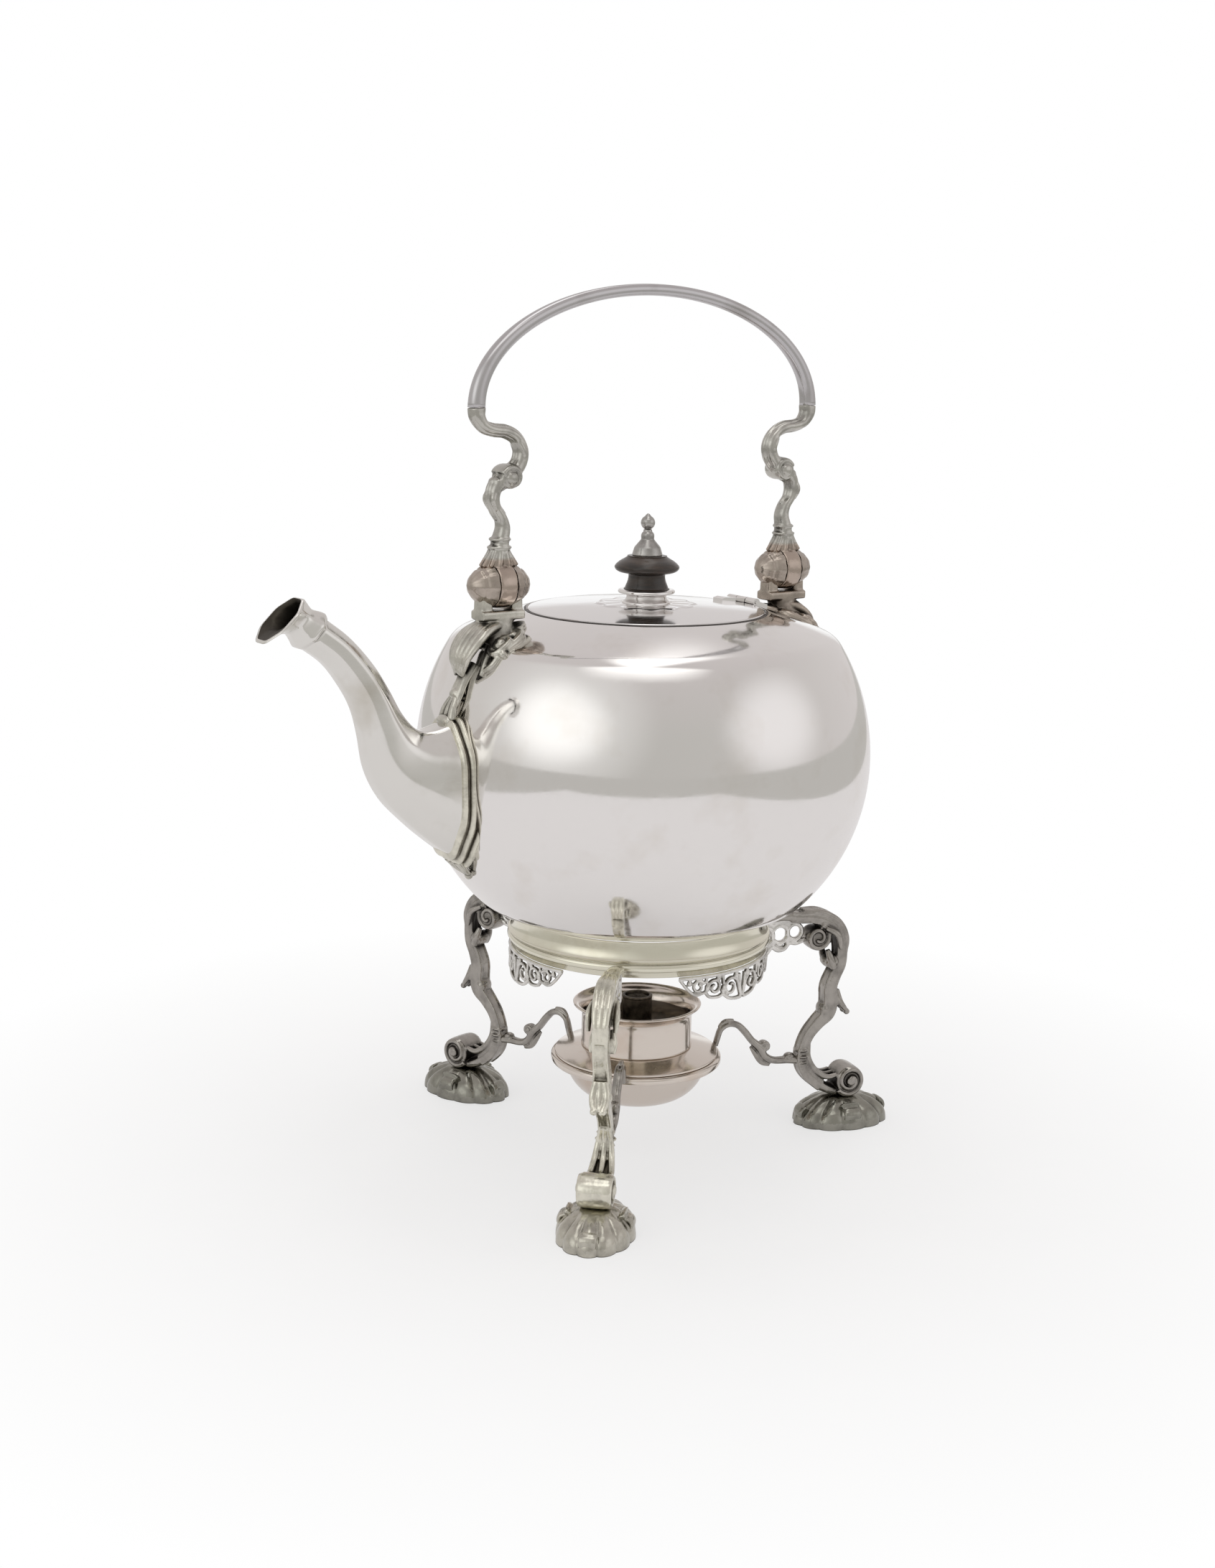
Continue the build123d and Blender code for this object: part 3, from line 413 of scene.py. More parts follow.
def rounded(profile, radius, steps=5):
    """Polyline of (reach, height) with its inner corners rounded."""
    rows = [np.array(p, float) for p in profile]
    out = [rows[0]]
    for before, here, after in zip(rows, rows[1:], rows[2:]):
        back, on = before - here, after - here
        cut = min(radius, 0.45 * np.linalg.norm(back), 0.45 * np.linalg.norm(on))
        start = here + back / np.linalg.norm(back) * cut
        end = here + on / np.linalg.norm(on) * cut
        for t in np.linspace(0, 1, steps):
            out.append((1 - t) ** 2 * start + 2 * t * (1 - t) * here + t * t * end)
    out.append(rows[-1])
    return out


def sweep(path, size, up=(0, 1, 0), power=2.6, around=20):
    """Tube along 3-D path rows; size rows are (half across the path, half along up)."""
    path = np.array(path, float)
    size = np.array(size, float)
    run = np.gradient(path, axis=0)
    run /= np.linalg.norm(run, axis=1)[:, None] + 1e-12
    up = np.tile(np.array(up, float), (len(path), 1))
    side = np.cross(up, run)
    side /= np.linalg.norm(side, axis=1)[:, None] + 1e-12
    lift = np.cross(run, side)
    turns = np.linspace(0, TAU, around, endpoint=False)
    cos_part = np.sign(np.cos(turns)) * np.abs(np.cos(turns)) ** (2 / power)
    sin_part = np.sign(np.sin(turns)) * np.abs(np.sin(turns)) ** (2 / power)
    rings = (path[:, None, :] + side[:, None, :] * (size[:, 0, None] * cos_part)[:, :, None]
             + lift[:, None, :] * (size[:, 1, None] * sin_part)[:, :, None])
    points = [tuple(p) for ring in rings for p in ring]
    return points, grid_faces(len(path), around) + end_caps(len(path), around)


def flat_path(rows, steps=8):
    """Smooth strap path from (reach, height, half thickness, half width) rows."""
    rows = curve_through(rows, steps)
    path = np.column_stack([rows[:, 0], np.zeros(len(rows)), rows[:, 1]])
    return path, rows[:, 2:4]


def ball(centre, radii, rings=12, segments=20):
    points = []
    for i in range(1, rings):
        tilt = math.pi * i / rings
        for j in range(segments):
            turn = TAU * j / segments
            points.append((centre[0] + radii[0] * math.sin(tilt) * math.cos(turn),
                           centre[1] + radii[1] * math.sin(tilt) * math.sin(turn),
                           centre[2] + radii[2] * math.cos(tilt)))
    top = len(points)
    points += [(centre[0], centre[1], centre[2] + radii[2]),
               (centre[0], centre[1], centre[2] - radii[2])]
    faces = grid_faces(rings - 1, segments)
    for j in range(segments):
        k = (j + 1) % segments
        faces.append((top, k, j))
        last = (rings - 2) * segments
        faces.append((top + 1, last + j, last + k))
    return points, faces


def drum_mesh(reach, height, radius, half_width, segments=28, round_edge=0.8):
    """Short round bar lying along Y."""
    profile = rounded([(0.01, -half_width), (radius, -half_width), (radius, half_width),
                       (0.01, half_width)], round_edge)
    points, faces = lathe_mesh(profile, segments)
    points = [(reach + p[0], p[2], height + p[1]) for p in points]
    return points, [tuple(reversed(f)) for f in faces]


def gather(*parts):
    """Join several (points, faces) into one."""
    points, faces = [], []
    for more_points, more_faces in parts:
        base = len(points)
        points += [tuple(p) for p in more_points]
        faces += [tuple(base + k for k in f) for f in more_faces]
    return points, faces


def moved(part, turn=0.0, mirror_y=False):
    """Turn a part by degrees about the upright axis, mirrored in Y first if asked."""
    matrix = Matrix.Rotation(math.radians(turn), 4, "Z")
    points = []
    for p in part[0]:
        q = (p[0], -p[1], p[2]) if mirror_y else p
        points.append(tuple(matrix @ Vector(q)))
    faces = [tuple(reversed(f)) for f in part[1]] if mirror_y else part[1]
    return points, faces


def fused(name, parts, voxel, smoothing=3, factor=0.5, finish=None):
    """Melt overlapping closed parts into one cast skin; returns the mesh piece."""
    points, faces = gather(*parts)
    rough = piece(name + "_rough", points, faces, finish)
    remesh = rough.modifiers.new("melt", "REMESH")
    remesh.mode = "VOXEL"
    remesh.voxel_size = voxel * MM
    remesh.use_smooth_shade = True
    soften = rough.modifiers.new("soften", "SMOOTH")
    soften.iterations = smoothing
    soften.factor = factor
    mesh = evaluated_mesh(rough)
    bpy.data.objects.remove(rough)
    mesh.name = name
    coat_with(mesh, finish)
    shade_smooth(mesh)
    return place_mesh(name, mesh)


def turned_copy(source, name, turn):
    """Copy of a piece turned about the upright axis, with its place in its mesh."""
    mesh = source.data.copy()
    mesh.name = name
    mesh.transform(Matrix.Rotation(math.radians(turn), 4, "Z"))
    return place_mesh(name, mesh)


def drop(source):
    mesh = source.data
    bpy.data.objects.remove(source)
    bpy.data.meshes.remove(mesh)


# ------------------------------------------------------------------ kettle body

def crossing(first, first_radius, second, second_radius):
    """Outer crossing of two circles with (reach, height) centres."""
    run, rise = second[0] - first[0], second[1] - first[1]
    gap = math.hypot(run, rise)
    along = (first_radius ** 2 - second_radius ** 2 + gap ** 2) / (2 * gap)
    aside = math.sqrt(first_radius ** 2 - along ** 2)
    base = (first[0] + along * run / gap, first[1] + along * rise / gap)
    return max((base[0] - aside * rise / gap, base[1] + aside * run / gap),
               (base[0] + aside * rise / gap, base[1] - aside * run / gap))


def bearing(centre, point):
    return math.degrees(math.atan2(point[1] - centre[1], point[0] - centre[0]))


def body_profile(inset):
    """Outline of the body from the middle of its base to the mouth."""
    base, low = (0.0, BASE_CENTRE), (BELLY_RADIUS - LOWER_CURVE, BELLY_HEIGHT)
    high, cap = (BELLY_RADIUS - UPPER_CURVE, BELLY_HEIGHT), (0.0, SHOULDER_CENTRE)
    foot_round, top_round = 20.0 - inset, 11.0 - inset
    base_r, low_r = BASE_CURVE - inset, LOWER_CURVE - inset
    high_r, cap_r = UPPER_CURVE - inset, SHOULDER_CURVE - inset
    foot = crossing(base, base_r - foot_round, low, low_r - foot_round)
    shoulder = crossing(cap, cap_r - top_round, high, high_r - top_round)
    mouth = math.degrees(math.acos(MOUTH_RADIUS / cap_r))
    rows = arc(base, base_r, -89.9, bearing(base, foot), 14)
    rows += arc(foot, foot_round, bearing(base, foot), bearing(low, foot), 12)[1:]
    rows += arc(low, low_r, bearing(low, foot), 0.0, 40)[1:]
    rows += arc(high, high_r, 0.0, bearing(high, shoulder), 40)[1:]
    rows += arc(shoulder, top_round, bearing(high, shoulder), bearing(cap, shoulder), 14)[1:]
    rows += arc(cap, cap_r, bearing(cap, shoulder), mouth, 14)[1:]
    return rows


def skin_height(radius):
    """Height of the body's upper surface at a distance from the upright axis."""
    cap = SHOULDER_CENTRE + math.sqrt(SHOULDER_CURVE ** 2 - radius ** 2)
    side = BELLY_RADIUS - UPPER_CURVE
    wall = BELLY_HEIGHT + math.sqrt(max(UPPER_CURVE ** 2 - (radius - side) ** 2, 0.0))
    soft = 1.6
    return -soft * math.log(math.exp(-(cap - 200) / soft) + math.exp(-(wall - 200) / soft)) + 200


def on_skin(reach, side, lift):
    """Point over the body's upper surface, in the rear half."""
    radius = math.hypot(reach, side)
    height = skin_height(radius)
    slope = skin_height(radius + 0.2) - skin_height(radius - 0.2)
    tilt = math.atan2(-slope, 0.4)
    out, up = math.sin(tilt), math.cos(tilt)
    return (reach + lift * out * reach / radius, side + lift * out * side / radius,
            height + lift * up)


def make_body():
    outer = body_profile(0.0)
    inner = body_profile(BODY_WALL)
    edge = [(MOUTH_RADIUS, outer[-1][1] - 0.25), (MOUTH_RADIUS, inner[-1][1] + 0.1)]
    turned("kettle_belly", outer + edge + inner[::-1], 256, SILVER, "kettle", "polished_silver",
          ["kettle_body", "kettle_shoulder"])
    # painted shadow: a thin dark ring on the body round the mouth, where the gap under the lid's
    # edge is in shade
    rim = [(r, skin_height(r) + 0.035) for r in np.linspace(47.12, 48.0, 4)]
    low = [(r, z - 0.3) for r, z in rim[::-1]]
    turned("mouth_painted_shadow_line", rim + low + rim[:1], 240, GAP_SHADOW, "kettle", "polished_silver")


# ------------------------------------------------------------------ spout

SPOUT = [
    (-10.0, -7.5, 27.0, 15.6, -4.0), (-3.0, -5.4, 26.2, 15.4, 3.0), (4.5, -1.0, 22.8, 14.2, 16.5),
    (11.2, 2.2, 19.5, 12.6, 25.0), (18.9, 6.0, 15.5, 10.8, 37.0), (24.8, 12.5, 12.0, 9.2, 56.0),
    (29.2, 22.0, 8.9, 8.1, 66.0), (33.5, 32.0, 7.6, 7.3, 63.0), (39.0, 41.0, 7.2, 6.9, 56.0),
    (47.0, 50.4, 6.7, 6.5, 46.0), (56.5, 57.6, 6.7, 6.5, 42.0),
]
TIP = [
    (56.5, 57.6, 7.4, 7.2, 42.0), (57.6, 58.6, 7.9, 7.7, 43.0), (59.0, 60.0, 7.3, 7.1, 45.0),
    (61.5, 61.8, 6.3, 6.2, 47.0), (63.4, 62.8, 6.9, 6.5, 47.0), (65.5, 63.4, 8.2, 7.4, 47.0),
    (67.4, 63.3, 9.7, 8.2, 46.5), (68.8, 62.7, 10.8, 8.8, 46.0), (69.2, 62.9, 10.6, 8.6, 46.0),
]
TIP_BORE = [
    (69.0, 63.2, 9.9, 8.0, 46.0), (67.2, 63.8, 7.6, 6.6, 46.5), (65.5, 63.7, 6.2, 5.8, 47.0),
    (61.5, 61.8, 5.0, 4.9, 47.0), (56.5, 57.6, 5.2, 5.0, 42.0), (47.0, 50.4, 5.2, 5.0, 46.0),
    (39.0, 41.0, 5.6, 5.4, 56.0),
]


def octagon_ring(station, corner=0.22):
    """Eight-sided section with softened edges, in the rear-facing frame."""
    out, up, tall, wide, angle = station
    flat = 0.42
    outline = [(tall, flat * wide), (flat * tall, wide), (-flat * tall, wide),
               (-tall, flat * wide), (-tall, -flat * wide), (-flat * tall, -wide),
               (flat * tall, -wide), (tall, -flat * wide)]
    turn = math.radians(angle)
    ring = []
    for k, here in enumerate(outline):
        here = np.array(here)
        before, after = np.array(outline[k - 1]), np.array(outline[(k + 1) % 8])
        start, end = here + (before - here) * corner, here + (after - here) * corner
        for t in (0.0, 0.25, 0.5, 0.75, 1.0):
            a, b = (1 - t) ** 2 * start + 2 * t * (1 - t) * here + t * t * end
            ring.append((BELLY_RADIUS + out - a * math.sin(turn), b,
                         BELLY_HEIGHT + up + a * math.cos(turn)))
    return ring


def loft_mesh(stations, caps=True):
    rings = [octagon_ring(s) for s in stations]
    count = len(rings[0])
    points = [p for ring in rings for p in ring]
    faces = grid_faces(len(rings), count)
    if caps:
        faces += end_caps(len(rings), count)
    return points, faces


def facing_front(part):
    return moved(part, turn=180.0)


def make_spout():
    long_run = curve_through(SPOUT, 8)
    points, faces = facing_front(loft_mesh(long_run))
    piece("spout_shell", points, faces, SPOUT_SILVER, "kettle", "polished_silver", ["spout"])
    # painted shade: the bore wall inside the tip is near-black
    points, faces = facing_front(loft_mesh(curve_through(TIP_BORE, 5), caps=False))
    piece("spout_bore_wall", points, faces, SHADED_BORE, "kettle", "polished_silver")
    tip = np.vstack([curve_through(TIP, 5), TIP_BORE[:1]])
    points, faces = facing_front(loft_mesh(tip, caps=False))
    piece("spout_flared_lip", points, faces, SPOUT_SILVER, "kettle", "polished_silver",
          ["spout_tip"])
    make_spout_root(long_run)


def make_spout_root(long_run):
    """Three beaded steps, a drop leaf below and a pointed leaf above."""
    lines = np.array([octagon_ring(row) for row in long_run[:34]])
    beads = [(-6.4, -3.4, 2.6), (-2.9, -0.2, 2.2), (0.3, 2.6, 1.8)]
    points = []
    cuts = np.linspace(-7.6, 3.0, 84)
    for out in cuts:
        reach = BELLY_RADIUS + out
        ring = []
        for strand in lines.transpose(1, 0, 2):
            order = np.argsort(strand[:, 0])
            ring.append((reach, np.interp(reach, strand[order, 0], strand[order, 1]),
                         np.interp(reach, strand[order, 0], strand[order, 2])))
        ring = np.array(ring)
        rise = 0.4 if -6.9 < out < 2.7 else -0.4
        for start, end, height in beads:
            if start < out < end:
                swell = math.sin(math.pi * (out - start) / (end - start)) ** 0.6
                rise = 0.4 + (height - 0.4) * swell
        away = ring - ring.mean(axis=0)
        away /= np.linalg.norm(away, axis=1)[:, None]
        points += [tuple(p) for p in ring + away * rise]
    points, faces = facing_front((points, grid_faces(len(cuts), lines.shape[1])))
    piece("spout_root_bands", points, faces, CREAM_CAST, "kettle", "polished_silver",
          ["spout_root"])
    leaves = []
    for side in (-1, 0, 1):
        path = curve_through([
            (90.5, side * 3.0, 186.6), (89.6, side * 2.6, 190.5), (87.6, side * 1.4, 194.5),
            (86.4, side * 0.3, 197.5)], 5)
        leaves.append(strip(path, (1.7, 0.7), (1.9, 0.7), power=2.0, around=12))
        path = curve_through([
            (87.4, side * 3.4, 132.5), (84.6, side * 2.8, 129.0), (81.2, side * 1.2, 125.8)], 5)
        leaves.append(strip(path, (2.0, 0.8), (2.1, 0.8), power=2.0, around=12))
    leaves.append(ball((80.6, 0, 125.2), (1.7, 1.5, 1.7)))
    leaves.append(ball((91.6, 0, 185.8), (2.2, 4.6, 2.6)))
    points, faces = facing_front(gather(*leaves))
    piece("spout_root_leaves", points, faces, CAST, "kettle", "cast_silver")


# ------------------------------------------------------------------ handle joints and lugs

def joint_profile(low, high, growth=0.0, lobes=True):
    """Outline of the melon joint along the swinging axis: (distance, radius)."""
    rows = []
    for along in np.linspace(low, high, 40):
        share = min(abs(along) / (JOINT_HALF + growth), 0.999)
        radius = (JOINT_RADIUS + growth) * math.sqrt(1 - share ** 2)
        if lobes:
            radius *= 1 - 0.05 * max(0.0, 1 - abs(abs(along) - 8.3) / 1.0)
        rows.append((along, radius))
    return rows


def along_axis(rows, segments=40, ribs=0, depth=0.0):
    """Turn (distance, radius) rows about the handle's swinging axis at +X."""
    points = []
    for along, radius in rows:
        for step in range(segments):
            turn = TAU * step / segments
            ripple = 1 - depth * (0.5 - 0.5 * math.cos(ribs * turn)) if ribs else 1.0
            points.append((JOINT_REACH + along, radius * ripple * math.cos(turn),
                           JOINT_HEIGHT + radius * ripple * math.sin(turn)))
    faces = grid_faces(len(rows), segments) + end_caps(len(rows), segments)
    return points, [tuple(reversed(f)) for f in faces]


def cheek(side):
    edge = TONGUE_HALF + SIDE_GAP
    rows = joint_profile(edge, JOINT_HALF * 0.995)
    rows[0] = (edge, rows[0][1] - 0.35)
    rows.insert(1, (edge + 0.35, rows[1][1]))
    if side < 0:
        rows = [(-a, r) for a, r in rows[::-1]]
    return along_axis(rows, 60, 10, 0.045)


def spiral(centre, start_radius, end_radius, start, turns, count=40):
    """Flat spiral as (across, along) pairs about a centre, angles in degrees."""
    out = []
    for t in np.linspace(0, 1, count):
        radius = start_radius * (1 - t) ** 0.8 + end_radius * (1 - (1 - t) ** 0.8)
        turn = math.radians(start + 360 * turns * t)
        out.append((centre[0] + radius * math.cos(turn), centre[1] + radius * math.sin(turn)))
    return out


def taper(count, first, last, belly=0.0):
    t = np.linspace(0, 1, count)
    return first + (last - first) * t + belly * np.sin(math.pi * t)


def even(count, first, last, belly=0.0):
    """Sweep sizes that are the same across and along."""
    return np.column_stack([taper(count, first, last, belly)] * 2)


def strip(path, thick, wide, up=(0, 1, 0), power=3.0, around=16):
    """Band along a path; thick and wide each taper from a first to a last half size."""
    count = len(path)
    return sweep(path, np.column_stack([taper(count, *thick), taper(count, *wide)]), up, power,
                 around)


def coil(centre, start_radius, end_radius, start, turns, count, thick, wide, power=3.0,
         around=16):
    """Rolled band in the XZ plane, the band's width lying along Y."""
    path = [(p, 0.0, q) for p, q in spiral(centre, start_radius, end_radius, start, turns, count)]
    return strip(path, thick, wide, power=power, around=around)


def rib(points, first, last, belly=0.0, steps=6):
    """Tapering rib through 3-D points."""
    path = curve_through(points, steps)
    return sweep(path, even(len(path), first, last, belly), (0.02, 1, 0.01), 2.0, 12)


def skin_rib(points, first, last, belly=0.0, lift=0.6):
    """Rib that runs over the body's upper surface through (reach, side) pairs."""
    rows = curve_through(points, 7)
    path = np.array([on_skin(r, s, lift) for r, s in rows])
    return sweep(path, even(len(path), first, last, belly), (0, 0, 1), 2.0, 12)


def lug_volute(side):
    """Scroll that lies on the shoulder beside the neck."""
    middle = (72.4, 10.4)
    rows = spiral(middle, 4.3, 0.9, 200, 1.6)
    path = np.array([on_skin(r, s, 1.5 + 1.4 * k / len(rows)) for k, (r, s) in enumerate(rows)])
    parts = gather(sweep(path, even(len(path), 1.35, 0.9), (0, 0, 1), 2.0, 12),
                   ball(on_skin(*middle, 2.6), (1.7, 1.7, 1.5)),
                   ball(on_skin(*middle, 0.6), (4.0, 4.0, 1.8)))
    return moved(parts, mirror_y=True) if side < 0 else parts


def lug_parts(with_tail):
    """Cast parts of a lug at +X, ready to be fused."""
    low = JOINT_HEIGHT - JOINT_RADIUS - 0.45
    reach = JOINT_REACH
    parts = [
        sweep([(reach - 9.3, 0, low - 2.0), (reach, 0, low - 2.0), (reach + 9.3, 0, low - 2.0)],
              [(1.8, 4.5), (1.9, 4.7), (1.8, 4.5)], power=6, around=28),
        sweep([(reach, 0, low - 1.0), (reach, 0, low - 5.0), (reach + 0.6, 0, low - 8.5),
               (reach + 1.4, 0, low - 13.0)],
              [(8.0, 4.6), (5.4, 4.8), (6.2, 6.4), (8.6, 9.8)], power=2.4, around=28),
    ]
    for side in (-1, 1):
        foot = reach + side * 6.6
        parts.append(sweep([(foot, 0, low - 3.0), (foot, 0, low + 3.0), (foot, 0, low + 7.0)],
                           [(2.7, 3.8), (2.6, 3.6), (2.4, 3.4)], power=4, around=20))
        parts.append(lug_volute(side))
        parts.append(skin_rib([(67.0, side * 3.5), (63.5, side * 6.4), (64.6, side * 10.0),
                               (68.5, side * 12.6), (73.0, side * 14.0)], 1.7, 0.9, 0.5))
        parts.append(skin_rib([(66.0, side * 2.2), (61.6, side * 3.6), (58.6, side * 2.0),
                               (57.2, side * 0.6)], 1.5, 0.7, 0.5))
        parts.append(skin_rib([(74.0, side * 4.5), (77.5, side * 7.5), (80.6, side * 8.6)],
                              1.9, 0.8, 0.4))
        parts.append(skin_rib([(73.5, side * 13.0), (77.5, side * 12.2), (79.6, side * 9.2)],
                              1.2, 0.9, 0.3))
        parts.append(ball(on_skin(74.6, side * 14.2, 0.9), (1.7, 1.7, 1.5)))
        parts.append(ball(on_skin(66.4, side * 8.2, 1.2), (1.9, 1.6, 1.6)))
    parts.append(skin_rib([(66.0, 0.0), (60.5, 0.0), (56.4, 0.0)], 2.2, 0.8, 0.5, 0.9))
    outer = [(69.0, 222.0), (75.5, 221.4), (81.5, 217.4), (85.8, 211.0), (86.2, 204.0)]
    inner = [(69.0, 222.0), (74.0, 221.0), (78.4, 217.0), (80.8, 211.5), (81.6, 206.0)]
    line = outer if with_tail else inner
    spread = [2.6, 5.4, 7.0, 5.6, 2.0]
    for share in (-1.0, -0.66, -0.33, 0.0, 0.33, 0.66, 1.0):
        drop_by = 1.6 * abs(share)
        points = [(r - drop_by * 0.5, share * w, z - drop_by)
                  for (r, z), w in zip(line, spread)]
        parts.append(rib(points, 1.9, 1.0 if abs(share) < 0.9 else 0.8, 0.35, 6))
    if with_tail:
        tail = [(79.8, 207.0), (83.6, 201.0), (86.9, 194.5), (88.6, 188.6)]
        for share in (-1, 0, 1):
            points = [(r, share * w, z) for (r, z), w in zip(tail, (2.4, 1.6, 2.2, 0.6))]
            parts.append(rib(points, 1.7, 0.9, 0.2, 6))
        parts.append(ball((86.8, 0, 195.4), (2.3, 2.9, 2.6)))
        parts.append(ball((88.9, 0, 188.4), (1.4, 1.5, 1.6)))
    return parts


def make_lugs():
    for name, node, with_tail, turn in (("front", "front_lug", True, 180.0),
                                        ("rear", "rear_lug", False, 0.0)):
        base = fused("lug_foliage_" + name, lug_parts(with_tail), 0.38, 3, 0.45,
                     CAST if with_tail else LUG_WARM)
        base.data.transform(Matrix.Rotation(math.radians(turn), 4, "Z"))
        settle(base, "kettle", [node])
        for side, label in ((-1, "inner"), (1, "outer")):
            points, faces = moved(cheek(side), turn=turn)
            piece(f"joint_cheek_{name}_{label}", points, faces, WARM_CAST, "kettle", "cast_silver")


# ------------------------------------------------------------------ bail handle

SCROLL = [
    (78.5, 301.0), (78.2, 297.6), (75.6, 294.2), (71.2, 292.8), (66.2, 292.2), (61.6, 289.8),
    (59.3, 285.2), (60.5, 280.0), (65.2, 275.6), (70.0, 272.4), (71.4, 268.4), (70.4, 264.2),
    (67.9, 260.6), (66.9, 256.8), (67.8, 252.4), (68.4, 247.0),
]
SCROLL_HALF = [3.2, 2.7, 2.1, 1.9, 1.9, 2.0, 2.4, 2.6, 2.8, 2.5, 2.2, 1.9, 2.0, 2.4, 2.8, 3.4]
SCROLL_WIDE = [3.2, 3.4, 3.5, 3.5, 3.4, 3.4, 3.6, 3.8, 4.2, 3.8, 3.4, 3.2, 3.2, 3.4, 3.8, 4.2]


def make_bow():
    """Round bow of half an ellipse, thicker toward its feet."""
    rows = [(BOW_REACH * math.cos(turn), 0, BOW_FOOT + BOW_RISE * math.sin(turn))
            for turn in np.linspace(0, math.pi, BOW_STEPS)]
    share = np.abs(np.linspace(-1, 1, BOW_STEPS))
    half = 2.2 + 1.0 * share ** 1.5
    points, faces = sweep(rows, np.column_stack([half, half]), power=2.25, around=24)
    piece("handle_bow", points, faces, BOW_SILVER, "bail", "polished_silver", ["bail_bow"])


def scroll_parts():
    rows = [(r, z, h, w) for (r, z), h, w in zip(SCROLL, SCROLL_HALF, SCROLL_WIDE)]
    path, size = flat_path(rows, 8)
    parts = [sweep(path, size, power=2.6, around=24)]
    edge = path.copy()
    run = np.gradient(edge, axis=0)
    run /= np.linalg.norm(run, axis=1)[:, None]
    across = np.cross(np.array((0.0, 1.0, 0.0)), run)
    half = curve_through([(h,) for h in SCROLL_HALF], 8)
    for side in (-1, 1):
        ridge = edge + across * half * side * 0.98
        ridge = ridge[8:len(ridge) - 24]
        parts.append(sweep(ridge, even(len(ridge), 0.5, 0.9, 0.3), power=2.0, around=10))
    parts.append(coil((64.9, 275.4), 4.0, 0.8, 20, 1.4, 40, (1.5, 1.0), (4.8, 4.6)))
    parts.append(drum_mesh(65.6, 275.2, 3.9, 4.2))
    parts.append(ball((61.6, 0, 276.8), (2.3, 3.6, 1.7)))
    parts.append(ball((69.9, 0, 274.0), (2.4, 3.8, 1.8)))
    for side in (-1, 1):
        parts.append(ball((65.4, side * 4.6, 275.3), (2.5, 1.2, 2.4)))
        parts.append(rib([(60.2, side * 2.0, 281.0), (59.6, side * 3.0, 284.6),
                          (61.4, side * 3.2, 288.4)], 0.9, 0.6, 0.4))
        parts.append(rib([(71.8, side * 2.2, 270.6), (72.6, side * 2.8, 267.4),
                          (71.2, side * 2.6, 263.6)], 1.0, 0.6, 0.4))
    parts.append(ball((68.0, 0, 252.6), (4.3, 4.3, 1.3)))
    parts.append(ball((68.2, 0, 249.6), (4.9, 4.4, 1.2)))
    parts += cup_parts()
    parts.append(along_axis(joint_profile(-TONGUE_HALF, TONGUE_HALF, 0.0, False), 60))
    parts.append(sweep([(JOINT_REACH, 0, 240.0), (JOINT_REACH, 0, 247.0)],
                       [(3.4, 3.4), (3.4, 3.8)], power=4.0, around=20))
    return parts


def cup_parts():
    """Ribbed leaves that cap the joint."""
    parts = [sweep([(JOINT_REACH, 0, 242.6), (JOINT_REACH, 0, 245.8), (JOINT_REACH, 0, 248.0),
                    (JOINT_REACH, 0, 250.5)],
                   [(7.0, 4.3), (5.0, 4.3), (4.0, 4.0), (3.0, 3.4)], power=2.2, around=30)]
    for step in range(12):
        turn = TAU * (step + 0.5) / 12
        out, side = math.cos(turn), math.sin(turn)
        parts.append(rib([(JOINT_REACH + 2.6 * out, 2.6 * side, 250.6),
                          (JOINT_REACH + 4.0 * out, 3.6 * side, 247.6),
                          (JOINT_REACH + 6.6 * out, 4.3 * side, 243.9),
                          (JOINT_REACH + 7.8 * out, 4.5 * side, 242.8)], 0.7, 0.65, 0.2, 5))
    return parts


def make_scrolls():
    rough = fused("bail_scroll_cast", scroll_parts(), 0.36, 3, 0.4, SCROLL_CAST)
    envelope = joint_profile(-JOINT_HALF - 0.3, JOINT_HALF + 0.3, 0.4, False)
    left = [row for row in envelope if row[0] < -TONGUE_HALF]
    right = [row for row in envelope if row[0] > TONGUE_HALF]
    cutters = []
    for rows in (left, right):
        inner = -TONGUE_HALF - 0.05 if rows is left else TONGUE_HALF + 0.05
        rows = sorted(rows + [(inner, rows[-1][1] if rows is left else rows[0][1])])
        rows = [(a, max(r, 0.05)) for a, r in rows]
        points, faces = along_axis(rows, 72)
        cutters.append(piece("joint_clearing", points, faces, CAST))
    for cutter in cutters:
        cut = rough.modifiers.new("clear", "BOOLEAN")
        cut.operation = "DIFFERENCE"
        cut.solver = "EXACT"
        cut.object = cutter
    mesh = evaluated_mesh(rough)
    for cutter in cutters:
        drop(cutter)
    rough.modifiers.clear()
    rough.data = mesh
    shade_smooth(mesh)
    for name, node, turn in (("handle_scroll_front", "bail_scroll_front", 180.0),
                             ("handle_scroll_rear", "bail_scroll_rear", 0.0)):
        settle(turned_copy(rough, name, turn), "bail", [node])
    drop(rough)


# ------------------------------------------------------------------ lid and finial

def lid_height(radius):
    curve = (2.35 ** 2 + LID_RADIUS ** 2) / (2 * 2.35)
    return LID_TOP - curve + math.sqrt(curve ** 2 - radius ** 2)


def lid_wave(radius, height, turn):
    """Chased rosette of twelve petals round the finial's foot."""
    if 10.0 < radius < 20.5 and height > 223.0:
        edge = 18.4 + 1.1 * math.cos(12 * turn)
        inside = 1 / (1 + math.exp((radius - edge) * 6))
        ridge = 0.14 * abs(math.cos(6 * turn)) ** 0.7 * inside
        rim = 0.22 * math.exp(-((radius - edge) / 0.5) ** 2)
        height += 0.10 * inside + ridge + rim
    return radius, height


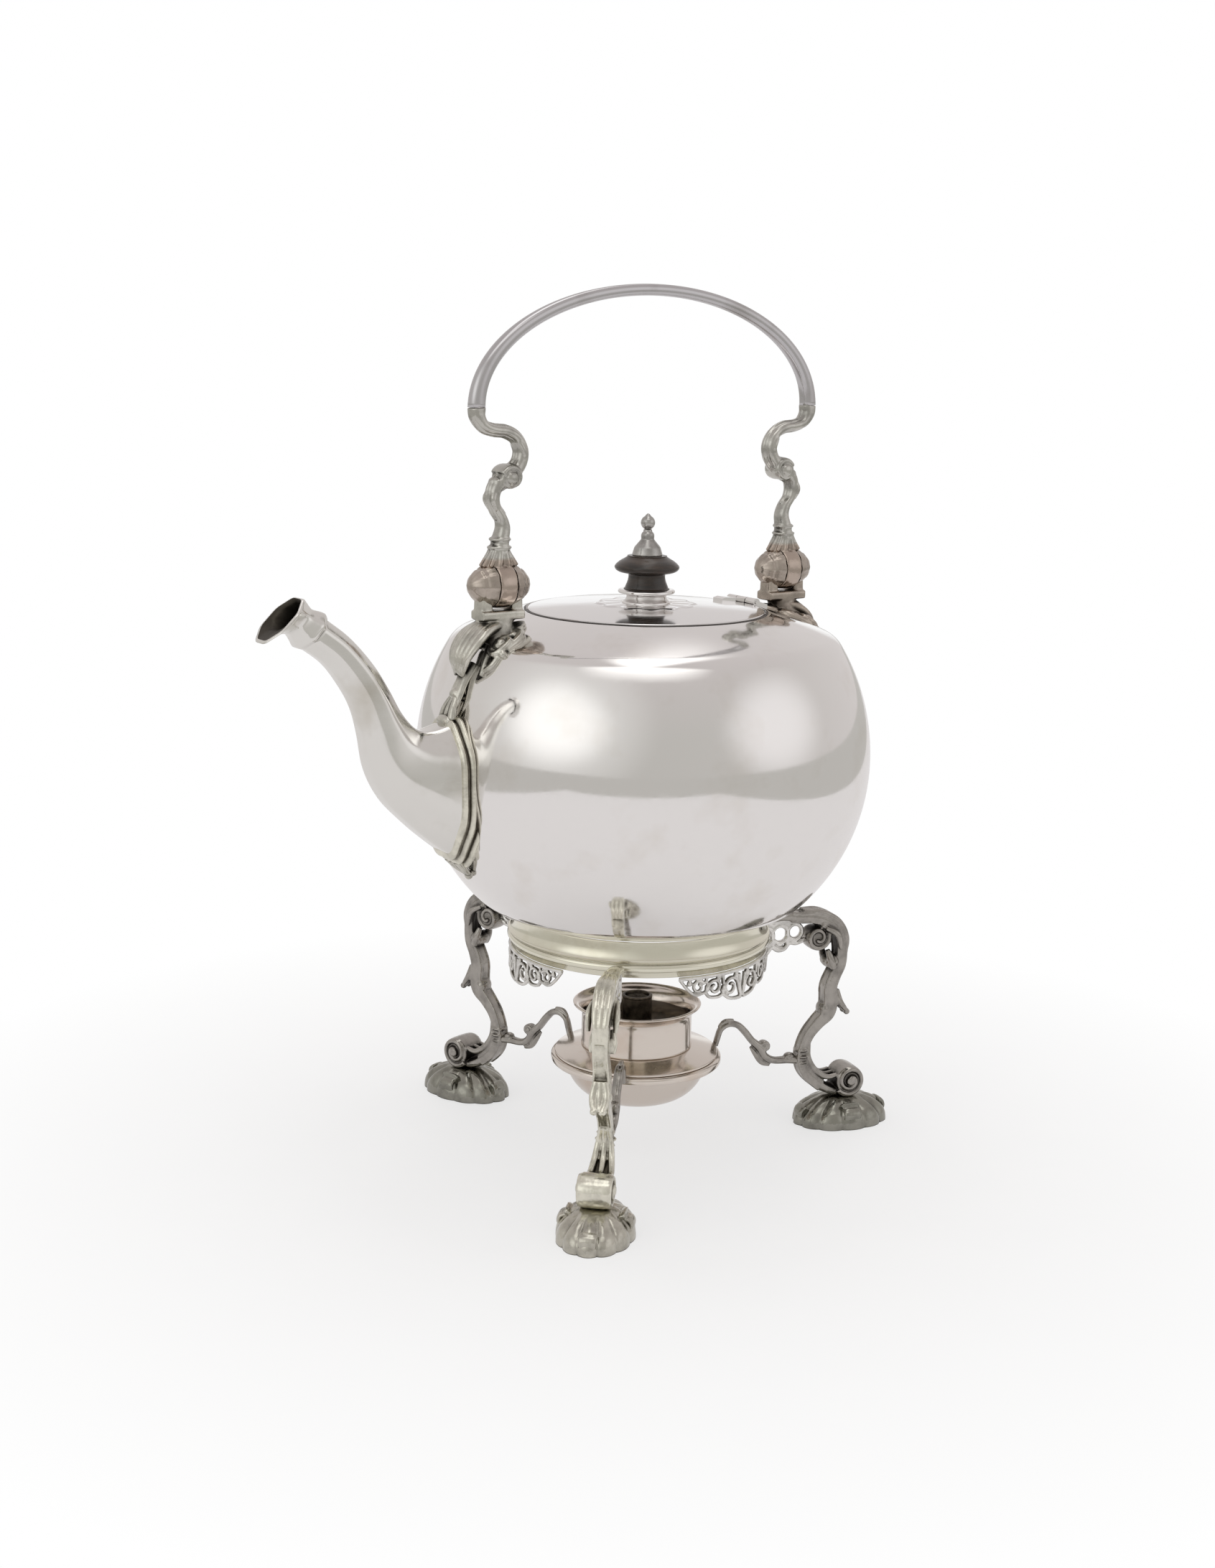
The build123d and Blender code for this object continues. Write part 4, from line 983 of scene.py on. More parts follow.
def make_lid():
    top = [(r, lid_height(r)) for r in np.concatenate([
        np.linspace(0.02, 10, 8), np.linspace(10.3, 21, 48), np.linspace(22, 45.9, 30)])]
    edge = [(46.25, lid_height(46.2) - 0.02), (46.5, lid_height(46.5) - 0.25),
            (46.5, lid_height(46.5) - 1.15), (46.2, lid_height(46.2) - 1.4)]
    under = [(r, lid_height(r) - 1.4) for r in np.linspace(45.0, 0.02, 20)]
    points, faces = lathe_mesh(top + edge + under, 240, lid_wave)
    piece("lid_plate", points, [tuple(reversed(f)) for f in faces], LID_SILVER, "lid",
          "polished_silver", ["lid"])


def make_finial():
    base = rounded([(0.02, 224.6), (9.5, 224.8), (9.5, 225.5), (8.2, 226.4), (7.7, 227.5),
                    (8.3, 228.5), (11.2, 229.0), (11.2, 229.9), (10.6, 230.4), (0.02, 230.4)],
                   0.5)
    turned("finial_foot", base, 96, SILVER, "lid", "polished_silver", ["finial_base"])
    wood = [(0.02, 230.4), (8.4, 230.4), (8.5, 230.9), (8.2, 231.8), (7.5, 233.6), (7.2, 235.4),
            (7.5, 236.3), (8.9, 236.7), (10.8, 237.1), (12.1, 237.8), (12.7, 238.8),
            (12.5, 239.6), (11.6, 240.6), (10.4, 241.5), (9.0, 242.3), (8.1, 242.9), (7.6, 243.3),
            (7.2, 243.5), (0.02, 243.5)]
    turned("finial_wood_grip", curve_through(wood, 4), 96, WOOD, "lid", "dark_wood",
           ["finial_disc"])
    cap = rounded([(0.02, 243.5), (5.9, 243.5), (5.9, 244.2), (5.1, 246.8), (3.5, 248.7),
                   (2.5, 249.9), (2.6, 251.0), (2.5, 252.0), (1.7, 252.9), (1.7, 253.7),
                   (0.02, 253.7)], 0.4)
    turned("finial_bell", cap, 72, NECK_CAST, "lid", "polished_silver", ["finial_cap"])
    centre = 253.7 + 2.8 * 0.92
    knob = [(0.02, 253.7), (1.1, 253.72)]
    knob += [(2.8 * math.cos(t), centre + 2.8 * math.sin(t))
             for t in np.radians(np.linspace(-62, 64, 18))]
    knob += [(1.1, 259.0), (0.7, 259.45), (0.35, 259.8), (0.02, 259.8)]
    turned("finial_ball_point", knob, 56, NECK_CAST, "lid", "polished_silver", ["finial_nut"])


# ------------------------------------------------------------------ stand

def make_ring():
    base = BASE_CENTRE
    top_in = base - math.sqrt(BASE_CURVE ** 2 - 46.5 ** 2) - 0.2
    top_out = base - math.sqrt(BASE_CURVE ** 2 - 50.2 ** 2) - 0.2
    cove = 93.2
    rows = [(46.5, 87.0), (46.5, top_in), (50.2, top_out), (50.25, 100.2)]
    rows += [(52.9 - 2.45 * math.cos(t), cove + 6.4 * (1 - math.sin(t)))
             for t in np.radians(np.linspace(20, 88, 10))]
    rows += [(52.9, cove), (52.2, cove - 0.35), (52.2, cove - 0.6)]
    rows += [(51.6 + 1.6 * math.cos(t), cove - 2.3 + 1.65 * math.sin(t))
             for t in np.radians(np.linspace(75, -75, 12))]
    rows += [(51.6, cove - 4.1), (51.5, 87.3), (51.2, 87.0), (46.5, 87.0)]
    turned("stand_moulded_ring", rows, 256, RING_SILVER, "stand", "polished_silver",
          ["stand_ring"])


LEG = [
    (50.5, 89.8), (57.0, 91.4), (64.0, 92.4), (71.0, 91.6), (78.5, 90.9), (85.0, 88.4),
    (89.6, 83.6), (91.2, 77.0), (90.9, 70.0), (88.4, 64.8), (86.6, 59.6), (86.9, 53.6),
    (86.0, 48.6), (81.9, 44.6), (77.9, 40.0), (75.5, 34.6), (74.8, 29.0), (76.6, 23.8),
    (80.6, 19.4), (85.6, 15.8), (91.0, 13.6),
]
LEG_HALF = [1.8, 2.0, 2.3, 2.4, 2.5, 2.7, 2.7, 2.5, 2.7, 3.0, 3.2, 3.5, 3.3, 2.7, 2.4, 2.3, 2.3,
            2.5, 2.6, 2.5, 2.0]
LEG_SLIM, LEG_THIN = 0.72, 0.86
LEG_WIDE = [3.2, 3.4, 3.8, 4.4, 5.0, 5.2, 4.9, 4.3, 4.1, 4.2, 4.6, 4.7, 4.4, 3.9, 3.7, 3.7, 3.9,
            4.6, 5.4, 5.9, 6.1]


def side_ridges(line, halves, wides, span, size, steps=8):
    """Thin raised borders along both edges of a strap's outer face."""
    rows = curve_through([(r, 0.0, z, h, w) for (r, z), h, w in zip(line, halves, wides)], steps)
    run = np.gradient(rows[:, :3], axis=0)
    run /= np.linalg.norm(run, axis=1)[:, None]
    across = np.cross(np.array((0.0, 1.0, 0.0)), run)
    out = []
    for face in (-1, 1):
        for side in (-1, 1):
            path = rows[:, :3] + across * rows[:, 3:4] * face * 0.86
            path[:, 1] += side * rows[:, 4] * 0.78
            path = path[span]
            out.append(sweep(path, even(len(path), size, size), power=2.0, around=10))
    return out


def leg_parts():
    halves = [LEG_THIN * h for h in LEG_HALF]
    wides = [LEG_SLIM * w for w in LEG_WIDE]
    rows = [(r, z, h, w) for (r, z), h, w in zip(LEG, halves, wides)]
    path, size = flat_path(rows, 8)
    parts = [sweep(path, size, power=3.0, around=24)]
    parts += side_ridges(LEG, halves, wides, slice(20, 150), 0.7)
    parts.append(coil((79.5, 82.6), 5.6, 0.9, 75, -1.6, 60, (1.5, 1.0), (4.4, 5.0)))
    parts.append(drum_mesh(79.5, 82.6, 4.2, 3.6))
    parts.append(coil((96.0, 18.8), 6.4, 1.2, 215, 1.7, 70, (1.5, 1.1), (6.5, 7.4), 3.2))
    parts.append(drum_mesh(96.0, 18.8, 6.0, 5.6))
    parts.append(drum_mesh(96.0, 18.8, 1.9, 7.6))
    for side in (-1, 0, 1):
        parts.append(rib([(73.0, side * 1.6, 94.0), (81.0, side * 2.4, 93.2),
                          (89.0, side * 2.4, 88.8), (93.4, side * 2.0, 81.6),
                          (93.8, side * 1.2, 74.0)], 1.1, 0.7, 0.5, 6))
        parts.append(rib([(89.8, side * 1.6, 58.6), (91.2, side * 2.6, 53.6),
                          (93.6, side * 2.2, 50.2), (95.4, side * 1.2, 48.8)], 1.3, 0.8, 0.3, 6))
        parts.append(rib([(78.0, side * 1.4, 36.0), (77.6, side * 2.4, 30.0),
                          (80.4, side * 3.2, 24.6), (85.6, side * 4.0, 21.0),
                          (90.4, side * 4.2, 21.6)], 0.9, 0.9, 0.4, 6))
    for side in (-1, 1):
        parts.append(rib([(84.2, side * 3.0, 77.0), (85.6, side * 3.8, 72.6),
                          (87.2, side * 3.6, 68.6)], 1.0, 1.4, 0.4, 5))
        parts.append(ball((86.6, side * 2.6, 71.4), (3.0, 1.8, 3.0)))
        parts.append(ball((95.0, side * 1.6, 48.4), (1.4, 1.5, 1.3)))
        parts.append(rib([(82.5, side * 4.4, 86.8), (87.6, side * 5.2, 83.6),
                          (89.4, side * 5.0, 77.4)], 0.9, 0.8, 0.5, 6))
    parts.append(ball((86.4, 0, 71.6), (3.4, 3.6, 3.2)))
    parts.append(ball((84.4, 0, 50.4), (2.6, 3.8, 3.4)))
    for height, wide in ((33.2, 3.7), (30.6, 4.3), (28.0, 3.7)):
        parts.append(ball((75.0, 0, height), (3.2, wide, 0.9)))
    return parts


def web_parts():
    """Pierced scrollwork between the ring and a leg's head."""
    parts = [sweep(curve_through([(51.2, 0, 90.2), (60, 0, 91.2), (72, 0, 90.2)], 6),
                   [(1.5, 1.5)] * 13, power=2.4, around=12)]
    for reach, height, radius in ((56.2, 84.0, 3.9), (63.2, 84.6, 3.7), (70.0, 85.2, 3.3)):
        ring = [(reach + radius * math.cos(t), 0, height + radius * math.sin(t))
                for t in np.linspace(0, TAU, 30)]
        parts.append(sweep(ring, [(0.95, 1.3)] * 30, power=2.2, around=12))
        parts.append(ball((reach, 0, height - radius - 0.6), (1.7, 1.4, 1.3)))
    low = curve_through([(51.4, 0, 77.6), (54.0, 0, 75.8), (57.0, 0, 76.6), (59.6, 0, 79.4),
                         (62.4, 0, 77.8), (65.4, 0, 78.2), (67.6, 0, 80.6), (71.0, 0, 80.2),
                         (75.6, 0, 81.8)], 6)
    parts.append(sweep(low, even(len(low), 1.2, 1.0), power=2.2, around=12))
    parts.append(sweep([(51.6, 0, 90.5), (51.6, 0, 84), (51.6, 0, 77.2)], [(0.9, 1.4)] * 3,
                       power=2.4, around=12))
    for points in ([(53, 0, 88.6), (56.6, 0, 90.0), (60, 0, 88.8)],
                   [(60, 0, 88.8), (63.6, 0, 90.0), (67, 0, 88.6)],
                   [(60, 0, 79.6), (59.8, 0, 84), (60, 0, 89.4)],
                   [(66.8, 0, 80.6), (66.7, 0, 84.6), (67, 0, 89.4)]):
        parts.append(rib(points, 1.1, 1.1, 0.0, 5))
    return parts


def foot_parts():
    """Fluted shell foot; its rolled ends are made in make_legs."""
    rows, columns = 26, 144
    points = []
    for i in range(rows):
        t = i / (rows - 1)
        scale = 0.40 + 0.60 * math.sin(t * math.pi / 2) ** 0.85
        height = 11.6 * (1 - t) ** 0.85 + 0.9 * t
        flare = max(0.0, (t - 0.82) / 0.18)
        for j in range(columns):
            turn = TAU * j / columns
            flute = abs(math.cos(6.5 * turn * 12 / 13)) ** 0.8
            wave = 1 + 0.055 * t * (flute - 0.5)
            lift = 1.25 * math.sin(math.pi * min(t * 1.05, 1.0)) * (flute - 0.35)
            points.append((94.5 + 20.6 * scale * wave * math.cos(turn),
                           14.6 * scale * wave * math.sin(turn),
                           max(height + lift - 0.2 * flare, 0.9)))
    base = len(points)
    for j in range(columns):
        points.append((*points[(rows - 1) * columns + j][:2], 0.02))
    faces = [tuple(reversed(f)) for f in grid_faces(rows + 1, columns)]
    points += [(94.5, 0, 11.6), (94.5, 0, 0.02)]
    for j in range(columns):
        k = (j + 1) % columns
        faces.append((base + columns, j, k))
        faces.append((base + columns + 1, base + k, base + j))
    return points, faces


def make_legs():
    cast = fused("leg_cast", leg_parts(), 0.36, 3, 0.4, CAST)
    web = fused("web_cast", web_parts(), 0.32, 2, 0.4, PALE_CAST)
    points, faces = foot_parts()
    shell = piece("foot_cast", points, faces, CAST)
    curls = []
    for side in (-1, 1):
        rows = spiral((side * 11.4, 6.2), 3.6, 0.8, 90, side * 1.4, 40)
        curls.append(strip([(94.0, p, q) for p, q in rows], (1.2, 0.9), (4.4, 3.4), (1, 0, 0),
                           2.6, 14))
    for reach, side in ((111.5, 1), (77.5, -1)):
        curls.append(coil((reach, 4.6), 2.9, 0.8, 90, -side * 1.3, 36, (1.1, 0.8), (3.6, 3.0),
                          2.6, 14))
    curl = fused("foot_curls", curls, 0.4, 2, 0.4, CAST)
    for name, angle in LEG_ANGLES.items():
        # painted light and shade: the front leg and foot take the lighter finishes, the two rear
        # ones darker copies
        near = name == "front"
        for source, label, nodes, finish in (
                (cast, "leg_casting_", ["leg_" + name], CREAM_CAST if near else DARK_CAST),
                (shell, "foot_shell_", ["foot_" + name], FOOT_CAST if near else REAR_FOOT_SHADED),
                (web, "leg_web_scrollwork_", [], PALE_CAST),
                (curl, "foot_curls_", [], FOOT_CAST if near else REAR_FOOT_SHADED)):
            made = turned_copy(source, label + name, angle)
            coat_with(made.data, finish)
            settle(made, "stand", nodes)
    for made in (cast, shell, curl, web):
        drop(made)


def on_apron(along, height):
    """Point on the apron's cylinder; along is in millimetres from its middle."""
    turn = along / APRON_RADIUS
    return (APRON_RADIUS * math.cos(turn), APRON_RADIUS * math.sin(turn), height)


def apron_parts():
    """Scrollwork apron: rail, two pairs of scrolls, a middle shell and a scalloped hem."""
    parts = []

    def strand(pairs, first, last, steps=5):
        rows = curve_through(pairs, steps)
        path = np.array([on_apron(a, z) for a, z in rows])
        flat = (0.75 * first, 0.75 * last)
        parts.append(strip(path, (first, last), flat, (0, 0, 1), 2.2, 10))

    strand([(-30.5, 86.2), (-15, 86.2), (0, 86.2), (15, 86.2), (30.5, 86.2)], 1.0, 1.0, 14)
    for side in (-1, 1):
        for centre, start_radius, end_radius, start, turns, first, last in (
                ((6.6, 80.2), 3.9, 0.7, 160, -1.3, 1.0, 0.8),
                ((15.0, 81.4), 3.3, 0.7, -20, 1.3, 1.0, 0.8),
                ((22.4, 82.4), 2.7, 0.6, 160, -1.2, 0.9, 0.7)):
            rows = spiral(centre, start_radius, end_radius, start, turns, 26)
            strand([(side * a, z) for a, z in rows], first, last, 2)
        strand([(side * 0.6, 74.9), (side * 4.0, 75.0), (side * 7.4, 75.7), (side * 10.8, 77.8),
                (side * 13.4, 77.2), (side * 17.4, 77.8), (side * 19.6, 79.8), (side * 23.4, 79.2),
                (side * 26.8, 81.6), (side * 30.4, 86.0)], 1.0, 0.8)
        strand([(side * 10.9, 78.2), (side * 10.7, 82.0), (side * 11.0, 86.0)], 0.9, 0.9)
        strand([(side * 19.0, 79.8), (side * 18.8, 83.0), (side * 19.0, 86.0)], 0.8, 0.8)
        for along, height in ((3.6, 84.4), (13.0, 84.9), (26.2, 84.2), (10.8, 79.6)):
            x, y, z = on_apron(side * along, height)
            parts.append(ball((x, y, z), (1.0, 1.3, 1.2), 8, 12))
    for along in (-2.4, -1.2, 0.0, 1.2, 2.4):
        strand([(along * 0.3, 75.2), (along * 0.9, 79.5), (along * 1.5, 84.6)], 0.7, 0.9)
    return parts


def make_aprons():
    made = fused("apron_cast", apron_parts(), 0.3, 2, 0.4, PALE_CAST)
    for name, angle in APRON_ANGLES.items():
        settle(turned_copy(made, "apron_scrollwork_" + name, angle), "stand",
               ["apron_" + name])
    drop(made)


ARM = [
    (74.0, 28.6, 1.8), (68.5, 29.2, 1.6), (62.5, 29.6, 1.5), (58.2, 31.8, 1.7), (55.4, 36.2, 1.8),
    (52.0, 39.4, 1.5), (48.8, 43.4, 1.5), (45.2, 46.8, 1.4), (41.2, 47.6, 1.3), (37.8, 45.8, 1.2),
    (36.4, 42.4, 1.2), (35.4, 38.8, 1.1),
]


def make_arms():
    rows = [(r, z, h, h * 1.3) for r, z, h in ARM]
    path, size = flat_path(rows, 7)
    parts = [sweep(path, size, power=2.2, around=16)]
    parts.append(coil((57.9, 36.2), 2.5, 0.6, 250, -1.2, 30, (0.9, 0.7), (2.1, 2.0), 2.4, 12))
    parts.append(ball((57.9, 0, 36.2), (1.6, 2.3, 1.6)))
    parts.append(ball((69.6, 0, 30.8), (2.4, 2.2, 1.5)))
    parts.append(rib([(60.5, 0, 27.8), (56.8, 0, 29.4), (53.8, 0, 33.4), (51.4, 0, 36.6)],
                     0.8, 0.5, 0.6))
    parts.append(rib([(43.5, 0, 49.0), (39.4, 0, 48.8), (36.6, 0, 46.6)], 0.7, 0.5, 0.4))
    # painted shade: the arms take the darker shaded leg finish
    made = fused("arm_cast", parts, 0.3, 2, 0.4, DARK_CAST)
    for name, angle in LEG_ANGLES.items():
        settle(turned_copy(made, "lamp_arm_scroll_" + name, angle), "stand",
               ["lamp_arm_" + name])
    drop(made)


# ------------------------------------------------------------------ lamp

def make_lamp():
    rows = rounded([(29.6, 36.8), (34.0, 36.8), (34.8, 37.6), (34.8, 39.4), (34.0, 40.2),
                    (29.6, 40.2), (29.6, 36.8)], 0.6)
    turned("lamp_carrying_ring", rows, LAMP_TURN, LAMP_SILVER, "stand", "warm_silver",
           ["lamp_ring"])
    outside = arc(BOWL_CORNER, BOWL_ROUND, -90, 0, 24)
    rows = [(0.02, 21.5)] + outside + rounded(
        [(28.8, 38.3), (28.8, 40.3), (33.3, 40.3), (33.3, 41.2), (22.9, 43.6), (21.6, 43.6),
         (21.6, 42.4), (27.6, 40.5), (27.6, 38.3)], 0.35)
    rows += arc(BOWL_CORNER, BOWL_ROUND - BOWL_WALL, 0, -90, 24) + [(0.02, 22.7)]
    turned("lamp_bowl_shell", rows, LAMP_TURN, LAMP_SILVER, "lamp", "warm_silver", ["lamp_bowl"])
    rim = 61.6
    rows = [(21.2, rim - 6.0), (21.2, 40.1), (21.3, 40.1), (21.3, 43.7), (22.4, 43.7),
            (22.55, 44.2), (22.4, 44.8), (22.4, rim - 6.4), (22.4, rim - 5.4), (22.6, rim - 4.2),
            (23.1, rim - 2.9), (24.2, rim - 1.8), (25.4, rim - 1.1), (26.0, rim - 0.75),
            (26.12, rim - 0.35), (25.7, rim - 0.02), (25.2, rim), (23.9, rim - 0.7),
            (22.6, rim - 1.8), (21.8, rim - 3.4), (21.2, rim - 6.0)]
    turned("lamp_cover_rim", rows, LAMP_TURN, LAMP_SILVER, "burner", "warm_silver", ["lamp_cover"])
    make_wick()


def make_wick():
    rows = rounded([(5.0, 40.2), (6.0, 40.2), (6.0, 63.6), (6.25, 63.9), (6.25, 64.3), (6.0, 64.5),
                    (5.0, 64.5), (5.0, 40.2)], 0.15)
    turned("wick_holder", rows, 72, BURNT, "burner", "dark_metal", ["wick_tube"])
    points = []
    count, rings = 72, 30
    for i in range(rings):
        height = 40.2 + (63.2 - 40.2) * i / (rings - 1)
        for j in range(count):
            turn = TAU * j / count
            radius = 4.65 + 0.2 * math.sin(9 * turn + height * 0.9)
            points.append((radius * math.cos(turn), radius * math.sin(turn), height))
    faces = grid_faces(rings, count)
    for ring, (share, rise) in enumerate(((0.86, 0.35), (0.6, 0.6), (0.3, 0.45), (0.02, 0.55))):
        for j in range(count):
            turn = TAU * j / count
            radius = 4.65 * share
            tuft = 0.22 * math.sin(5 * turn + ring) * math.sin(3 * turn)
            points.append((radius * math.cos(turn), radius * math.sin(turn), 63.2 + rise + tuft))
    faces += [tuple(count * (rings - 1) + k for k in f) for f in grid_faces(5, count)]
    piece("wick_strands", points, faces, WICK, "burner", "wick_cotton", ["wick"])


# ------------------------------------------------------------------ carried-over solids

def dress_nodes():
    finishes = {
        "mouth_bezel": SILVER, "lid_flange": SILVER, "lid_hinge_leaf": SILVER,
        "lid_hinge_strap": SILVER, "lid_hinge_pin": SILVER, "finial_stud": SILVER,
        "front_bail_pin": WARM_CAST, "rear_bail_pin": WARM_CAST, "burner_plate": BURNT,
    }
    for name, finish in finishes.items():
        coat_with(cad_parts[name].data, finish)


# ------------------------------------------------------------------ stage, light and camera

VIEW = Vector((0.5743, 0.8187, 0.0)).normalized()
RIGHT = Vector((VIEW.y, -VIEW.x, 0.0))
CAMERA_PLACE = (-0.4994, -0.6879, 0.3329)
CAMERA_PITCH, CAMERA_ROLL = 0.2099, 0.01943
SENSOR, FOCAL_PIXELS, PHOTO_LONG_SIDE = 36.0, 3028.37, 2184.0
TABLE_FRONT, TABLE_LEFT, TABLE_RIGHT, TABLE_BACK = 945.0, -690.0, 650.0, -4000.0


class Studio(Finish):
    """Node tree of the room round the table."""

    def __init__(self, name):
        self.world = bpy.data.worlds.new(name)
        bpy.context.scene.world = self.world
        self.world.use_nodes = True
        self.tree = self.world.node_tree
        self.tree.nodes.clear()
        self.output = self.tree.nodes.new("ShaderNodeOutputWorld")
        self.way = self.tree.nodes.new("ShaderNodeTexCoord").outputs["Generated"]

    def toward(self, direction):
        made = self.node("ShaderNodeVectorMath", {"operation": "DOT_PRODUCT"})
        self.tree.links.new(self.way, made.inputs[0])
        made.inputs[1].default_value = tuple(direction)
        return Value(self.tree, made.outputs["Value"])

    def glow(self, azimuth, elevation, half_across, half_up, softness=1.0):
        """Soft oval light, 1 in its middle; azimuth is from the camera's side to its right."""
        flat = Matrix.Rotation(math.radians(azimuth), 3, "Z") @ -VIEW
        side = Vector((-flat.y, flat.x, 0.0))
        lift = math.radians(elevation)
        middle = flat * math.cos(lift) + Vector((0, 0, math.sin(lift)))
        over = middle.cross(side)
        across = self.toward(side) * (1 / math.sin(math.radians(half_across)))
        along = self.toward(over) * (1 / math.sin(math.radians(half_up)))
        round_edge = (1.0 - across * across - along * along).clamp()
        ahead = self.toward(middle).band(0.0, 0.1)
        smooth = round_edge * round_edge * (3.0 - 2.0 * round_edge)
        return (smooth ** softness) * ahead

    def seen(self):
        """1 for what the camera, a mirror or glass looks at."""
        path = self.node("ShaderNodeLightPath")
        camera = Value(self.tree, path.outputs["Is Camera Ray"])
        glossy = Value(self.tree, path.outputs["Is Glossy Ray"])
        clear = Value(self.tree, path.outputs["Is Transmission Ray"])
        return camera, (glossy + clear).clamp()


def make_world():
    room = Studio("studio_room")
    height = room.toward((0, 0, 1))
    front = room.toward(-VIEW)
    left = room.toward(-RIGHT)
    wall = room.mix((front * 0.5 + 0.5).clamp(), (0.70, 0.665, 0.655), (0.55, 0.535, 0.51))
    wall = room.mix(left.band(0.1, 1.0) * 0.5, wall, (0.66, 0.64, 0.61))
    wall = room.mix(height.band(0.35, 0.8) * 0.6, wall, (0.62, 0.575, 0.57))
    wall = room.mix((0.0 - height).band(0.0, 0.2) * 0.6, wall, (0.54, 0.525, 0.50))
    halo = room.mix(room.glow(-46, 24, 52, 42, 0.8) * 0.75, wall, (0.84, 0.83, 0.81))
    lit = room.mix(room.glow(-48, 22, 36, 26, 1.5), halo, (1.20, 1.19, 1.165))
    lit = room.mix(room.glow(72, 17, 36, 27, 1.2), lit, (0.90, 0.875, 0.87))
    lit = room.mix(room.glow(0, 62, 31, 14, 0.8), lit, (1.45, 1.43, 1.40))
    lit = room.mix(room.glow(170, 80, 14, 46, 1.6), lit, (1.8, 1.78, 1.75))
    camera, mirrored = room.seen()
    band = (0.0 - front).band(0.955, 0.985) * (0.16 - height).band(0.0, 0.05)
    white = (camera + mirrored * band).clamp()
    colour = room.mix(white, lit, (1.0, 1.0, 1.0))
    background = room.node("ShaderNodeBackground", None, Color=colour, Strength=1.0)
    room.tree.links.new(background.outputs[0], room.output.inputs[0])


def paper_finish():
    """White table paper whose shadow stays faint; the metal sees it a little greyer."""
    made = Finish("white_table_paper")
    fibre = made.noise(30.0, 3.0, 0.5)
    made.finish(made.mix(fibre.band(0.3, 0.7), (0.83, 0.835, 0.845), (0.85, 0.855, 0.86)),
                0.8, 0.0)
    paper = made.output.inputs[0].links[0].from_socket
    path = made.node("ShaderNodeLightPath")
    camera = Value(made.tree, path.outputs["Is Camera Ray"])
    mirrored = Value(made.tree, path.outputs["Is Glossy Ray"])
    mirrored = (mirrored + Value(made.tree, path.outputs["Is Transmission Ray"])).clamp()
    glow = made.mix(camera, (0.84, 0.815, 0.815), (1.0, 1.0, 1.0))
    light = made.node("ShaderNodeEmission", None, Color=glow, Strength=1.0)
    blend = made.node("ShaderNodeMixShader")
    reach = made.node("ShaderNodeVectorMath", {"operation": "LENGTH"}, Vector=made.place())
    far = Value(made.tree, reach.outputs["Value"]).band(0.12, 0.34)
    made.plug(blend.inputs[0], camera * (0.62 + 0.38 * far) + mirrored * 0.45)
    made.tree.links.new(paper, blend.inputs[1])
    made.tree.links.new(light.outputs[0], blend.inputs[2])
    made.tree.links.new(blend.outputs[0], made.output.inputs[0])
    return made.material


def surround_finish():
    """Room floor beyond the table: white to the camera, dim in the metal."""
    made = Finish("room_beyond_table")
    path = made.node("ShaderNodeLightPath")
    seen = Value(made.tree, path.outputs["Is Camera Ray"])
    colour = made.mix(seen, (0.54, 0.525, 0.50), (1.0, 1.0, 1.0))
    light = made.node("ShaderNodeEmission", None, Color=colour, Strength=1.0)
    made.tree.links.new(light.outputs[0], made.output.inputs[0])
    return made.material


def flat_sheet(name, front, left, right, back, height, finish):
    corners = [(front, left), (front, right), (back, right), (back, left)]
    points = [(-VIEW.x * a + RIGHT.x * b, -VIEW.y * a + RIGHT.y * b, height)
              for a, b in corners]
    return piece(name, points, [(0, 1, 2, 3)], finish, smooth=False)


